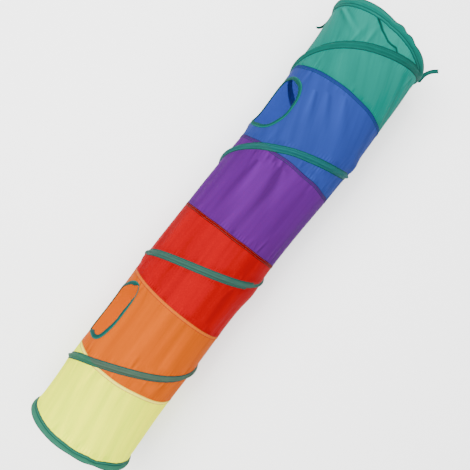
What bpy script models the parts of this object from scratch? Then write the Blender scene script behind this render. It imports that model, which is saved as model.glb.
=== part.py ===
"""Pop-up cat tunnel: six sewn colour panels held open by one helical spring wire.

Metres, +Z up. The tunnel lies on its side on the floor, its yellow end towards -X and its
green end towards +X. Cloth pieces are drawn flat first, as (station, arc, height). The
station is the distance from the yellow end. The arc is the distance around the skin, from
+Y towards +Z. The height is measured outwards from the skin. roll() then wraps the flat
piece round the tunnel.
"""

import math

import bmesh
import bpy
from mathutils import Matrix, Vector

# Lengths of the colour panels along the tunnel
YELLOW_PANEL = 0.191
ORANGE_PANEL = 0.196
RED_PANEL = 0.201
PURPLE_PANEL = 0.198
BLUE_PANEL = 0.199
GREEN_PANEL = 0.173

# Skin
SKIN_RADIUS = 0.127
SKIN_THICKNESS = 0.0008
SKIN_WAIST = 0.0015  # how far the skin pulls in midway between two turns of wire
SEAM_LAP = 0.007  # each panel's edge runs this far inside the next panel
SEAM_STEP = 0.003  # the length over which that edge steps down
CLOTH_GAP = 0.0003  # between any two layers of cloth

# How the slack tunnel lies, at the yellow end, at each seam and at the green end
SWAYS = (0.001, 0.005, 0.005, 0.004, -0.004, -0.0065, 0.0)  # its middle line, to +Y
LEANS = (-0.007, -0.005, 0.008, 0.0, 0.002, 0.003, 0.010)  # its +Y side, to +X
NODS = (0.005, 0.0, 0.0, 0.0, 0.0, 0.0, 0.005)  # its top, to +X

# Spring wire
WIRE_RADIUS = 0.001
WIRE_GAP = 0.0003
QUARTER_TURN_CLIMBS = (
    *(0.051, 0.0794, 0.082, 0.0655),
    *(0.066, 0.0715, 0.0667, 0.0558),
    *(0.077, 0.096, 0.091, 0.0545),
    *(0.051, 0.074, 0.0963, 0.0671),
)
RAMP_START = math.pi  # the turn where the wire leaves its end loop
RAMP_EASE = 0.45  # how steeply it leaves, as a share of the first quarter turn's climb
LOOP_INSET = 0.004  # from the end of the tunnel to the end loop of wire
LAP_SPACING = 0.0026  # between the wires that lie side by side where a loop closes

# Ferrules that close the end loops
FERRULE_LENGTH = 0.025
FERRULE_WALL = 0.0005

# Casing tape over the wire, and the same tape folded over both ends
TAPE_THICKNESS = 0.0008
TAPE_WIDTH = 0.019
TAPE_CREST_WIDTH = 0.0044
TAPE_WING_WIDTH = 0.0035
CREST_HEIGHT = 0.0055  # inside height of the tape's crest above the skin
BINDING_WIDTH = 0.020
BINDING_INNER_WIDTH = 0.014
BINDING_CREST = (0.002, 0.0095)  # where the crest starts and ends, from the tunnel's end
BINDING_SLOPE = 0.003
SKIN_EDGE_GAP = 0.0005  # from the fold of a binding to the edge of the cloth in it

# Side holes, cut round and pulled out of round to nearly the same girth by the spring
ORANGE_HOLE_MARGIN = 0.027  # from the binding to each seam of the panel, at mid height
BLUE_HOLE_MARGIN = 0.029
ORANGE_HOLE_SHIFT = 0.001  # from the middle of its panel, towards the green end
BLUE_HOLE_SHIFT = -0.003
ORANGE_HOLE_WIDTH = 0.112  # around the tunnel, over the binding
BLUE_HOLE_WIDTH = 0.124
ORANGE_HOLE_TURN = math.radians(26)
BLUE_HOLE_TURN = math.radians(30)
ORANGE_HOLE_SQUARENESS = 3.2  # 2 is an oval, and more is nearer to a rectangle
BLUE_HOLE_SQUARENESS = 2.5
ORANGE_HOLE_SLANT = 0.54  # how far its green-ward end leans, for its distance around
BLUE_HOLE_SLANT = 0.0
HOLE_BINDING_WIDTH = 0.0065
HOLE_BINDING_THICKNESS = 0.0006
HOLE_BINDING_GAP = 0.0007

# Ribbon ties at the green end
TIE_WIDTH = 0.0095
TIE_THICKNESS = 0.0008
TIE_SEAT = 0.0006
TIE_INSET = 0.0058
FRONT_TIE_TURN = math.pi
FRONT_TIE_REACH = 0.024
FRONT_TIE_ADVANCE = 0.052
FRONT_TIE_DROOP = 0.010
BACK_TIE_TURN = math.radians(-20)
BACK_TIE_REACH = 0.0165
BACK_TIE_TRAIL = 0.041

# Fineness of the meshes
FACETS = 36
WIRE_POINTS = 24  # a turn
PANEL_ROWS = 3
HOLE_POINTS = 24
TIE_STEPS = 8
WELD = 1e-6

# Values that follow from those above
PANEL_LENGTHS = {
    "yellow": YELLOW_PANEL,
    "orange": ORANGE_PANEL,
    "red": RED_PANEL,
    "purple": PURPLE_PANEL,
    "blue": BLUE_PANEL,
    "green": GREEN_PANEL,
}
COLOURS = list(PANEL_LENGTHS)
LENGTH = sum(PANEL_LENGTHS.values())
FACET = 2 * math.pi / FACETS
FACET_ARC = FACET * SKIN_RADIUS
WIRE_STEP = 2 * math.pi / WIRE_POINTS
RAMP_END = RAMP_START + math.pi / 2 * len(QUARTER_TURN_CLIMBS)
RAMP_INSET = LOOP_INSET + LAP_SPACING
AXIS_HEIGHT = (SKIN_RADIUS + CREST_HEIGHT) * math.cos(FACET / 2) + TAPE_THICKNESS
RIM = AXIS_HEIGHT  # from the axis to the middle of a binding's outer facet
WIRE_HEIGHT = CLOTH_GAP + WIRE_RADIUS
LOOP_HEIGHT = WIRE_HEIGHT + WIRE_GAP + FERRULE_WALL

MATERIALS = {
    "yellow": ((0.80, 0.83, 0.32), 0.45, 0.0),
    "orange": ((0.84, 0.24, 0.02), 0.45, 0.0),
    "red": ((0.68, 0.028, 0.02), 0.45, 0.0),
    "purple": ((0.21, 0.068, 0.36), 0.45, 0.0),
    "blue": ((0.055, 0.145, 0.45), 0.45, 0.0),
    "green": ((0.066, 0.35, 0.29), 0.45, 0.0),
    "tape": ((0.014, 0.205, 0.165), 0.6, 0.0),
    "ribbon": ((0.01, 0.16, 0.13), 0.6, 0.0),
    "spring_steel": ((0.56, 0.57, 0.58), 0.3, 1.0),
    "crimp_steel": ((0.68, 0.68, 0.66), 0.35, 1.0),
}


def cleared_scene():
    for old in list(bpy.data.objects):
        bpy.data.objects.remove(old, do_unlink=True)
    for old in list(bpy.data.collections):
        bpy.data.collections.remove(old)


def collection_named(name):
    collection = bpy.data.collections.new(name)
    bpy.context.scene.collection.children.link(collection)
    return collection


def material_named(name):
    """The Principled material of that name, made on first use."""
    if name in bpy.data.materials:
        return bpy.data.materials[name]
    colour, roughness, metallic = MATERIALS[name]
    material = bpy.data.materials.new(name)
    material.use_nodes = True
    shader = material.node_tree.nodes["Principled BSDF"]
    shader.inputs["Base Color"].default_value = (*colour, 1.0)
    shader.inputs["Roughness"].default_value = roughness
    shader.inputs["Metallic"].default_value = metallic
    material.diffuse_color = (*colour, 1.0)
    return material


def smoothstep(share):
    share = min(max(share, 0.0), 1.0)
    return share * share * (3 - 2 * share)


def through(values, place, ease=1.0):
    """A smooth curve through equally spaced values. ease scales its slope at both ends."""
    last = len(values) - 1
    place = min(max(place, 0.0), last)
    index = min(int(place), last - 1)
    share = place - index

    def slope(at):
        low, high = max(at - 1, 0), min(at + 1, last)
        return (values[high] - values[low]) / (high - low) * (ease if at in (0, last) else 1)

    square, cube = share**2, share**3
    return (
        (2 * cube - 3 * square + 1) * values[index]
        + (cube - 2 * square + share) * slope(index)
        + (3 * square - 2 * cube) * values[index + 1]
        + (cube - square) * slope(index + 1)
    )


def seam_stations():
    """The station where each panel starts, and the tunnel's end."""
    stations = [0.0]
    for length in PANEL_LENGTHS.values():
        stations.append(stations[-1] + length)
    return stations


SEAMS = seam_stations()


def placed(station, across, up):
    """A point given from the straight axis, moved as the slack tunnel sways and leans."""
    index = max(i for i, seam in enumerate(SEAMS[:-1]) if seam <= max(station, 0.0))
    place = index + (station - SEAMS[index]) / (SEAMS[index + 1] - SEAMS[index])
    sway, lean, nod = (through(values, place) for values in (SWAYS, LEANS, NODS))
    x = station + (lean * across + nod * up) / SKIN_RADIUS
    return Vector((x, across + sway, AXIS_HEIGHT + up))


def facet_share(turn):
    """How far the flat facet reaches at this turn, as a share of the radius at its corners."""
    off_middle = (turn - FACET / 2) % FACET - FACET / 2
    return math.cos(FACET / 2) / math.cos(off_middle)


def rolled(station, arc, height):
    """A point of flat cloth on the faceted wall of the tunnel."""
    turn = arc / SKIN_RADIUS
    radius = (SKIN_RADIUS + height) * facet_share(turn)
    return placed(station, radius * math.cos(turn), radius * math.sin(turn))


def ramp_nodes():
    """The wire's station after each quarter turn of the ramp, fitted between its end loops."""
    total = sum(QUARTER_TURN_CLIMBS)
    room = LENGTH - 2 * RAMP_INSET
    stations = [RAMP_INSET]
    for climb in QUARTER_TURN_CLIMBS:
        stations.append(stations[-1] + room * climb / total)
    return stations


NODES = ramp_nodes()


def ramp_station(turn):
    """The station of the wire on its ramp. Before and after it, that of the ramp's end."""
    return through(NODES, (turn - RAMP_START) / (math.pi / 2), RAMP_EASE)


def supports_at(arc):
    """The bands that hold the skin out along this line, as (station, half width)."""
    turn = (arc / SKIN_RADIUS) % (2 * math.pi)
    found = [(0.0, BINDING_WIDTH)]
    while turn < RAMP_END:
        if turn > RAMP_START:
            found.append((ramp_station(turn), TAPE_WIDTH / 2))
        turn += 2 * math.pi
    return found + [(LENGTH, BINDING_WIDTH)]


def skin_sink(station, arc):
    """How far the skin lies inside its full radius, pulled in between the wires."""
    supports = supports_at(arc)
    for (low, low_half), (high, high_half) in zip(supports, supports[1:]):
        if low <= station <= high:
            start, end = low + low_half, high - high_half
            if not start < station < end:
                return 0.0
            depth = SKIN_WAIST * min(1.0, (end - start) / (SKIN_RADIUS * 2))
            return depth * math.sin(math.pi * (station - start) / (end - start)) ** 2
    return 0.0


def loop_inset(back):
    """The wire's distance from the end of the tunnel, this many radians before its ramp."""
    creep = (back - WIRE_STEP) / (2 * math.pi - WIRE_STEP)
    return RAMP_INSET - LAP_SPACING * smoothstep(creep)


def wire_station(turn):
    """The station of the wire. Its two end loops are mirror images."""
    if turn < RAMP_START:
        return loop_inset(RAMP_START - turn)
    if turn > RAMP_END:
        return LENGTH - loop_inset(turn - RAMP_END)
    return ramp_station(turn)


def wire_point(turn):
    """A point of the wire's middle line. It stands higher in the loops, to clear a ferrule."""
    past_ramp = max(RAMP_START - turn, turn - RAMP_END)
    lift = smoothstep(1 + past_ramp / (2 * WIRE_STEP))
    height = WIRE_HEIGHT + (LOOP_HEIGHT - WIRE_HEIGHT) * lift
    radius = (SKIN_RADIUS + height) / math.cos(WIRE_STEP / 2)
    return placed(wire_station(turn), radius * math.cos(turn), radius * math.sin(turn))


def wire_turns():
    """The turns of the wire's points, from one free end to the other, past both laps."""
    first = RAMP_START - 2 * math.pi - WIRE_STEP
    last = RAMP_END + 2 * math.pi + WIRE_STEP
    count = round((last - first) / WIRE_STEP)
    return [first + WIRE_STEP * index for index in range(count + 1)]


def grid(columns, rows, at):
    """A sheet of columns by rows cells, each corner placed by at(column, row)."""
    mesh = bmesh.new()
    bmesh.ops.create_grid(mesh, x_segments=columns, y_segments=rows, size=0.5)
    for vertex in mesh.verts:
        column = round((vertex.co.x + 0.5) * columns)
        row = round((vertex.co.y + 0.5) * rows)
        vertex.co = at(column, row)
    return mesh


def bisected(mesh, point, normal, clear=False):
    """Cuts a bmesh along a plane. With clear, it drops what is on the normal's side."""
    return bmesh.ops.bisect_plane(
        mesh,
        geom=mesh.verts[:] + mesh.edges[:] + mesh.faces[:],
        dist=WELD,
        plane_co=point,
        plane_no=normal,
        clear_outer=clear,
    )


def trimmed(mesh, low, high):
    """Trims thick flat cloth to the stations between low and high, and closes the cuts."""
    for station, way in ((low, -1), (high, 1)):
        cut = bisected(mesh, (station, 0, 0), (way, 0, 0), clear=True)["geom_cut"]
        edges = [item for item in cut if isinstance(item, bmesh.types.BMEdge)]
        bmesh.ops.holes_fill(mesh, edges=edges, sides=0)


def ruled(mesh):
    """Adds edges to flat cloth where it will fold over the corners of the wall."""
    arcs = [vertex.co.y for vertex in mesh.verts]
    first = math.ceil(min(arcs) / FACET_ARC - 0.5)
    last = math.floor(max(arcs) / FACET_ARC - 0.5)
    for corner in range(first, last + 1):
        bisected(mesh, (0, (corner + 0.5) * FACET_ARC, 0), (0, 1, 0))


def roll(mesh, closed=False):
    """Wraps flat cloth round the tunnel. Rolling mirrors it, so a closed body is turned out."""
    for vertex in mesh.verts:
        vertex.co = rolled(*vertex.co)
    bmesh.ops.remove_doubles(mesh, verts=mesh.verts, dist=WELD)
    if closed:
        bmesh.ops.recalc_face_normals(mesh, faces=mesh.faces)


def object_from(mesh, name, material):
    """Turns a bmesh into a smooth-shaded object of the tunnel."""
    data = bpy.data.meshes.new(name)
    mesh.to_mesh(data)
    mesh.free()
    data.materials.append(material_named(material))
    data.shade_smooth()
    data.set_sharp_from_angle(angle=math.radians(35))
    made = bpy.data.objects.new(name, data)
    PARTS.objects.link(made)
    return made


def thicken(cloth, thickness, offset):
    """Gives an open sheet its thickness: offset 1 outwards, -1 inwards, 0 both ways."""
    solidify = cloth.modifiers.new("thickness", "SOLIDIFY")
    solidify.thickness = thickness
    solidify.offset = offset
    solidify.use_even_offset = True
    return cloth


def cut_away(piece, cutter):
    boolean = piece.modifiers.new("cut", "BOOLEAN")
    boolean.operation = "DIFFERENCE"
    boolean.object = cutter


def as_cutter(made):
    """Moves an object out of the tunnel's own collection, to cut and not to show."""
    PARTS.objects.unlink(made)
    CUTTERS.objects.link(made)
    made.hide_render = True
    made.display_type = "WIRE"
    return made


def panel_rows(colour):
    """The stations of a panel's rows of corners, and of those that are tucked under."""
    index = COLOURS.index(colour)
    start, end = SEAMS[index], SEAMS[index + 1]
    edge = TAPE_THICKNESS + SKIN_EDGE_GAP
    if index == 0:
        start = edge
    if index == len(COLOURS) - 1:
        tail, tucked = [], end - edge
    else:
        tail, tucked = [end, end + SEAM_LAP], end - SEAM_STEP
    first = start + SEAM_LAP
    middle = (tucked - first) / PANEL_ROWS
    return [start] + [first + middle * row for row in range(PANEL_ROWS + 1)] + tail, tail


def panel_sink(colour, station, arc):
    """How far the panel lies inside its full radius, between the corners of its mesh."""
    rows, _ = panel_rows(colour)
    row = max(index for index, at in enumerate(rows[:-1]) if at <= station)
    across = (station - rows[row]) / (rows[row + 1] - rows[row])
    corner = math.floor(arc / FACET_ARC - 0.5)
    around = arc / FACET_ARC - 0.5 - corner

    def between(at):
        low, high = (skin_sink(at, (corner + step + 0.5) * FACET_ARC) for step in (0, 1))
        return low + (high - low) * around

    return between(rows[row]) * (1 - across) + between(rows[row + 1]) * across


def panel(colour):
    """A tube of cloth. Its far edge steps down and runs inside the next panel."""
    rows, tail = panel_rows(colour)

    def at(column, row):
        arc = FACET_ARC * (column + 0.5)
        under = SKIN_THICKNESS + CLOTH_GAP if rows[row] in tail else 0.0
        return Vector((rows[row], arc, -skin_sink(rows[row], arc) - under))

    cloth = grid(FACETS, len(rows) - 1, at)
    roll(cloth)
    return thicken(object_from(cloth, f"panel_{colour}", colour), SKIN_THICKNESS, -1)


def casing_tape(colour):
    """The length of tape that holds the wire on one panel, cut off at the panel's seams."""
    index = COLOURS.index(colour)
    low = max(SEAMS[index] + CLOTH_GAP / 2, BINDING_WIDTH + CLOTH_GAP)
    high = min(SEAMS[index + 1] - CLOTH_GAP / 2, LENGTH - BINDING_WIDTH - CLOTH_GAP)
    slope = TAPE_WIDTH / 2 - TAPE_WING_WIDTH
    half = (
        (TAPE_WIDTH / 2, CLOTH_GAP),
        (slope, CLOTH_GAP),
        (TAPE_CREST_WIDTH / 2, CREST_HEIGHT),
    )
    profile = [(-across, height) for across, height in half] + list(reversed(half))
    turns = [
        turn
        for turn in facet_corners(RAMP_START - FACET, RAMP_END + FACET)
        if ramp_station(turn + FACET) + TAPE_WIDTH > low
        and ramp_station(turn - FACET) - TAPE_WIDTH < high
    ]

    def at(column, row):
        across, height = profile[row]
        turn = turns[column]
        return Vector((ramp_station(turn) + across, turn * SKIN_RADIUS, height))

    tape = grid(len(turns) - 1, len(profile) - 1, at)
    tape.normal_update()
    bmesh.ops.solidify(tape, geom=tape.faces[:], thickness=TAPE_THICKNESS)
    trimmed(tape, low, high)
    roll(tape, closed=True)
    return object_from(tape, f"casing_tape_{colour}", "tape")


def facet_corners(low, high):
    """The turns between these two at which the wall has a corner."""
    first = math.ceil(low / FACET - 0.5)
    last = math.floor(high / FACET - 0.5)
    return [(corner + 0.5) * FACET for corner in range(first, last + 1)]


def binding_profile():
    """(distance from the tunnel's end, height) along the tape folded over that end."""
    crest_start, crest_end = BINDING_CREST
    under = -SKIN_THICKNESS - CLOTH_GAP
    return (
        (BINDING_WIDTH, CLOTH_GAP),
        (crest_end + BINDING_SLOPE, CLOTH_GAP),
        (crest_end, CREST_HEIGHT),
        (crest_start, CREST_HEIGHT),
        (TAPE_THICKNESS, CREST_HEIGHT / 2),
        (TAPE_THICKNESS, under),
        (BINDING_INNER_WIDTH, under),
    )


def end_binding(colour):
    """Tape folded over one end of the tunnel, with a slit where the wire leaves it."""
    profile = binding_profile()
    if colour == COLOURS[0]:
        profile = [(inset, height) for inset, height in reversed(profile)]
        turns = [RAMP_START - WIRE_STEP]
    else:
        profile = [(LENGTH - inset, height) for inset, height in profile]
        turns = [RAMP_END + WIRE_STEP]

    def at(column, row):
        station, height = profile[row]
        return Vector((station, FACET_ARC * (column + 0.5), height))

    fold = grid(FACETS, len(profile) - 1, at)
    roll(fold)
    name = f"end_binding_{colour}"
    binding = thicken(object_from(fold, name, "tape"), TAPE_THICKNESS, 1)
    way = 1 if colour == COLOURS[0] else -1
    past_edge = BINDING_WIDTH + 4 * WIRE_RADIUS
    while distance_from_ends(turns[-1]) < past_edge:
        turns.append(turns[-1] + way * WIRE_STEP)
    path = [wire_point(turn) for turn in turns]
    slit = tube(f"slit_{colour}", path, WIRE_RADIUS + WIRE_GAP, "spring_steel")
    cut_away(binding, as_cutter(meshed(slit)))
    return binding


def distance_from_ends(turn):
    station = wire_station(turn)
    return min(station, LENGTH - station)


def tube(name, path, radius, material):
    """A round bar along a path, as a curve with filled ends."""
    curve = bpy.data.curves.new(name, "CURVE")
    curve.dimensions = "3D"
    curve.bevel_depth = radius
    curve.bevel_resolution = 1
    curve.use_fill_caps = True
    spline = curve.splines.new("POLY")
    spline.points.add(len(path) - 1)
    for point, place in zip(spline.points, path):
        point.co = (*place, 1.0)
    curve.materials.append(material_named(material))
    made = bpy.data.objects.new(name, curve)
    PARTS.objects.link(made)
    return made


def meshed(curved):
    """The same object as a mesh with welded caps, in place of the curve."""
    graph = bpy.context.evaluated_depsgraph_get()
    data = bpy.data.meshes.new_from_object(curved.evaluated_get(graph))
    mesh = bmesh.new()
    mesh.from_mesh(data)
    bmesh.ops.remove_doubles(mesh, verts=mesh.verts, dist=WELD)
    bmesh.ops.recalc_face_normals(mesh, faces=mesh.faces)
    mesh.to_mesh(data)
    mesh.free()
    name = curved.name
    matrix = curved.matrix_world.copy()
    bpy.data.objects.remove(curved, do_unlink=True)
    made = bpy.data.objects.new(name, data)
    made.matrix_world = matrix
    PARTS.objects.link(made)
    return made


def spring_wire():
    """One unbroken wire: an end loop, the ramp of turns, and the other end loop."""
    path = [wire_point(turn) for turn in wire_turns()]
    apart = WIRE_POINTS // 2
    least = min(
        (first - second).length
        for index, first in enumerate(path)
        for second in path[index + apart :]
    )
    print(f"spring_wire: least gap to itself {1000 * (least - 2 * WIRE_RADIUS):.2f} mm")
    return tube("spring_wire", path, WIRE_RADIUS, "spring_steel")


def stadium(half_length, radius, steps=6):
    """The outline of two half circles joined by straight sides."""
    points = []
    for side in (1, -1):
        for step in range(steps + 1):
            turn = math.pi * (step / steps - 0.5)
            across = side * (half_length + radius * math.cos(turn))
            points.append((across, side * radius * math.sin(turn)))
    return points


def ferrule(colour):
    """A crimped oval sleeve round the two wires where an end loop closes."""
    if colour == COLOURS[0]:
        ramp_turn, lap_turn = RAMP_START - WIRE_STEP, RAMP_START - 2 * math.pi - WIRE_STEP
    else:
        ramp_turn, lap_turn = RAMP_END, RAMP_END + 2 * math.pi
    ends = [wire_point(turn + step) for turn in (ramp_turn, lap_turn) for step in (0, WIRE_STEP)]
    middle = sum(ends, Vector()) / len(ends)
    along = (ends[1] - ends[0]).normalized()
    across = (ends[2] - ends[0]).normalized()
    up = along.cross(across).normalized()
    curve = bpy.data.curves.new(f"wire_ferrule_{colour}", "CURVE")
    curve.dimensions = "2D"
    curve.fill_mode = "BOTH"
    curve.extrude = FERRULE_LENGTH / 2
    bore = WIRE_RADIUS + WIRE_GAP
    for radius in (bore + FERRULE_WALL, bore):
        outline = stadium(LAP_SPACING / 2, radius)
        spline = curve.splines.new("POLY")
        spline.points.add(len(outline) - 1)
        for point, place in zip(spline.points, outline):
            point.co = (*place, 0.0, 1.0)
        spline.use_cyclic_u = True
    curve.materials.append(material_named("crimp_steel"))
    made = bpy.data.objects.new(curve.name, curve)
    made.matrix_world = Matrix.Translation(middle) @ Matrix((across, up, -along)).transposed().to_4x4()
    PARTS.objects.link(made)
    return made


def hole_of(colour):
    """(station, arc, half length, half width, squareness, slant) of a side hole."""
    index = COLOURS.index(colour)
    middle = (SEAMS[index] + SEAMS[index + 1]) / 2
    half = PANEL_LENGTHS[colour] / 2
    if colour == "orange":
        return (
            middle + ORANGE_HOLE_SHIFT,
            ORANGE_HOLE_TURN * SKIN_RADIUS,
            half - ORANGE_HOLE_MARGIN,
            ORANGE_HOLE_WIDTH / 2,
            ORANGE_HOLE_SQUARENESS,
            ORANGE_HOLE_SLANT,
        )
    return (
        middle + BLUE_HOLE_SHIFT,
        BLUE_HOLE_TURN * SKIN_RADIUS,
        half - BLUE_HOLE_MARGIN,
        BLUE_HOLE_WIDTH / 2,
        BLUE_HOLE_SQUARENESS,
        BLUE_HOLE_SLANT,
    )


def hole_point(colour, angle):
    """The point (station, arc) at this angle round the edge of the hole's binding."""
    station, arc, half_length, half_width, squareness, slant = hole_of(colour)
    across, up = math.cos(angle), math.sin(angle)
    reach = (abs(across) ** squareness + abs(up) ** squareness) ** (-1 / squareness)
    around = half_width * up * reach
    lean = slant * around * (1 + across) / 2
    return Vector((station + half_length * across * reach + lean, arc + around))


def hole_outline(colour, inset):
    """Points (station, arc) on the hole's edge, moved this far in from its binding's edge."""
    points = []
    nudge = FACET / 100
    for step in range(HOLE_POINTS):
        angle = 2 * math.pi * step / HOLE_POINTS
        edge = hole_point(colour, angle)
        ahead = hole_point(colour, angle + nudge) - hole_point(colour, angle - nudge)
        inwards = Vector((-ahead.y, ahead.x)).normalized()
        points.append(tuple(edge + inwards * inset))
    return points


def hole_cutter(colour):
    """An oval plug drawn flat, then rolled on to the wall, so that it cuts square to it."""
    outline = hole_outline(colour, HOLE_BINDING_WIDTH)
    reach = SKIN_WAIST + 4 * SKIN_THICKNESS
    plug = bmesh.new()
    bmesh.ops.create_circle(plug, cap_ends=True, segments=HOLE_POINTS, radius=1)
    for vertex, (along, around) in zip(plug.verts, outline):
        vertex.co = (along, around, -2 * reach)
    raised = bmesh.ops.extrude_face_region(plug, geom=plug.faces[:])["geom"]
    raised = [item for item in raised if isinstance(item, bmesh.types.BMVert)]
    bmesh.ops.translate(plug, verts=raised, vec=(0, 0, 3 * reach))
    ruled(plug)
    roll(plug, closed=True)
    return as_cutter(object_from(plug, f"hole_{colour}", colour))


def hole_binding(colour):
    """Narrow tape folded over the cut edge of a side hole."""
    folded = HOLE_BINDING_WIDTH + HOLE_BINDING_GAP
    under = -SKIN_THICKNESS - HOLE_BINDING_GAP
    profile = (
        (0.0, under),
        (folded, under),
        (folded, HOLE_BINDING_GAP),
        (0.0, HOLE_BINDING_GAP),
    )
    outlines = [hole_outline(colour, inset) for inset, _ in profile]

    def at(column, row):
        along, around = outlines[row][column % HOLE_POINTS]
        height = profile[row][1] - panel_sink(colour, along, around)
        return Vector((along, around, height))

    fold = grid(HOLE_POINTS, len(profile) - 1, at)
    bmesh.ops.remove_doubles(fold, verts=fold.verts, dist=WELD)
    ruled(fold)
    roll(fold)
    made = object_from(fold, f"hole_binding_{colour}", "tape")
    return thicken(made, HOLE_BINDING_THICKNESS, 1)


def ribbon(name, middle_line, width_at):
    """A flat strip along a path. width_at gives its half width to one side at each point."""

    def at(column, row):
        return middle_line[column] + width_at(column) * (2 * row - 1)

    strip = grid(len(middle_line) - 1, 1, at)
    return thicken(object_from(strip, name, "ribbon"), TIE_THICKNESS, 0)


def bezier(corners, share):
    """The point at this share of the curve that the corners pull."""
    while len(corners) > 1:
        corners = [a.lerp(b, share) for a, b in zip(corners, corners[1:])]
    return corners[0]


def rim_point(turn, out):
    """A point off the green end's binding, where the ties are sewn on."""
    reach = RIM + out
    return placed(LENGTH - TIE_INSET, reach * math.cos(turn), reach * math.sin(turn))


def front_tie():
    """The tie that stands out flat to the front, past the green end."""
    root = rim_point(FRONT_TIE_TURN, TIE_SEAT)
    tip = Vector((FRONT_TIE_ADVANCE, -FRONT_TIE_REACH, -FRONT_TIE_DROOP))
    out = Vector((0, -FRONT_TIE_REACH / 2, 0))
    ahead = Vector((FRONT_TIE_ADVANCE / 2, 0, 0))
    corners = [root, root + out, root + out + ahead, root + tip]
    line = [bezier(corners, step / TIE_STEPS) for step in range(TIE_STEPS + 1)]

    def width_at(column):
        ahead = line[min(column + 1, TIE_STEPS)] - line[max(column - 1, 0)]
        if column == 0:
            ahead = Vector((0, -1, 0))
        return Vector((-ahead.y, ahead.x, 0)).normalized() * TIE_WIDTH / 2

    return ribbon("tie_front", line, width_at)


def back_tie():
    """The tie that trails back along the tunnel on edge, and hooks out at its end."""
    root = rim_point(BACK_TIE_TURN, TIE_SEAT)
    out = Vector((0, math.cos(BACK_TIE_TURN), math.sin(BACK_TIE_TURN)))
    trail = Vector((-BACK_TIE_TRAIL, 0, 0))
    corners = [
        root,
        root + trail * 0.4 + out * 0.2 * BACK_TIE_REACH,
        root + trail * 0.95,
        root + trail + out * BACK_TIE_REACH,
    ]
    line = [bezier(corners, step / TIE_STEPS) for step in range(TIE_STEPS + 1)]
    tangent = Vector((0, -math.sin(BACK_TIE_TURN), math.cos(BACK_TIE_TURN)))
    return ribbon("tie_back", line, lambda column: tangent * TIE_WIDTH / 2)


def carrier(name, origin, pieces, parent=None):
    """An empty on a joint's axis, with the pieces that move about it."""
    made = bpy.data.objects.new(name, None)
    made.empty_display_size = 0.03
    PARTS.objects.link(made)
    made.location = origin
    if parent:
        keep_parent(made, parent)
    for piece in pieces:
        keep_parent(piece, made)
    return made


def keep_parent(child, parent):
    """Parents an object without moving it."""
    bpy.context.view_layer.update()
    child.parent = parent
    child.matrix_parent_inverse = parent.matrix_world.inverted()


def footprint_centre(pieces):
    """The middle of the part's box, at floor level."""
    bpy.context.view_layer.update()
    graph = bpy.context.evaluated_depsgraph_get()
    low, high = Vector((1e9,) * 3), Vector((-1e9,) * 3)
    for piece in pieces:
        evaluated = piece.evaluated_get(graph)
        mesh = evaluated.to_mesh()
        for vertex in mesh.vertices:
            point = evaluated.matrix_world @ vertex.co
            low = Vector(map(min, low, point))
            high = Vector(map(max, high, point))
        evaluated.to_mesh_clear()
    return Vector(((low.x + high.x) / 2, (low.y + high.y) / 2, low.z))


def axis_point(station):
    return Vector((station, 0, AXIS_HEIGHT))


cleared_scene()
PARTS = collection_named("cat_tunnel")
CUTTERS = collection_named("cutters")

panels = {colour: panel(colour) for colour in COLOURS}
tapes = {colour: casing_tape(colour) for colour in COLOURS}
hole_bindings = {}
for holed in ("orange", "blue"):
    cut_away(panels[holed], hole_cutter(holed))
    hole_bindings[holed] = hole_binding(holed)

yellow_end, green_end = COLOURS[0], COLOURS[-1]
carried = {colour: [panels[colour], tapes[colour]] for colour in COLOURS}
for holed, binding in hole_bindings.items():
    carried[holed].append(binding)
carried[yellow_end] += [end_binding(yellow_end), ferrule(yellow_end), spring_wire()]
carried[green_end] += [end_binding(green_end), ferrule(green_end)]

frame = carrier("tunnel_frame", Vector(), carried[yellow_end])
for colour, start, end in zip(COLOURS[1:], SEAMS[1:], SEAMS[2:]):
    middle = LENGTH if colour == green_end else (start + end) / 2
    section = carrier(f"{colour}_section", axis_point(middle), carried[colour], frame)
for tie, turn in ((front_tie(), FRONT_TIE_TURN), (back_tie(), BACK_TIE_TURN)):
    carrier(f"{tie.name}_hinge", rim_point(turn, TIE_SEAT), [tie], section)

for cutter in CUTTERS.objects:
    keep_parent(cutter, frame)
pieces = [piece for piece in PARTS.objects if piece.type != "EMPTY"]
frame.location = -footprint_centre(pieces)
print("tunnel_frame:", tuple(round(value, 6) for value in frame.location))
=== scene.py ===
import math

import bmesh
import bpy
import numpy as np
from bpy.props import FloatProperty, FloatVectorProperty, PointerProperty
from mathutils import Matrix, Vector


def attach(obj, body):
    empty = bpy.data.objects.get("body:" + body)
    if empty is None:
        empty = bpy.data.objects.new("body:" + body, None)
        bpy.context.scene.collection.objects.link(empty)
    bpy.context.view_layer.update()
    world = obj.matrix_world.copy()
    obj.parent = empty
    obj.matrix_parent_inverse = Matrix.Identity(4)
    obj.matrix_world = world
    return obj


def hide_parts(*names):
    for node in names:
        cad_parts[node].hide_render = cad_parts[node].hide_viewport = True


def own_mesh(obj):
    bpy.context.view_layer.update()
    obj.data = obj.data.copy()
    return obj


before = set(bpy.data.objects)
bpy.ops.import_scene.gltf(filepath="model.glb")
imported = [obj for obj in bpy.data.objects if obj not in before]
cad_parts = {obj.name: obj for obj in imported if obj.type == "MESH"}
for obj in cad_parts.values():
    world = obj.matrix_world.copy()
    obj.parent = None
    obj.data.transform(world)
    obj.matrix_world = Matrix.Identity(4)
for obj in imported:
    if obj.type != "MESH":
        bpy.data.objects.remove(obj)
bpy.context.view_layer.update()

bl_info = {
    "name": "Pop-up Cat Tunnel",
    "version": (1, 0, 0),
    "blender": (4, 5, 0),
    "location": "View3D > Sidebar > Cat Tunnel",
    "description": "Sews coloured cloth, casing tape, bindings, ties and stitching on to a spring tunnel",
    "category": "Object",
}

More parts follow.
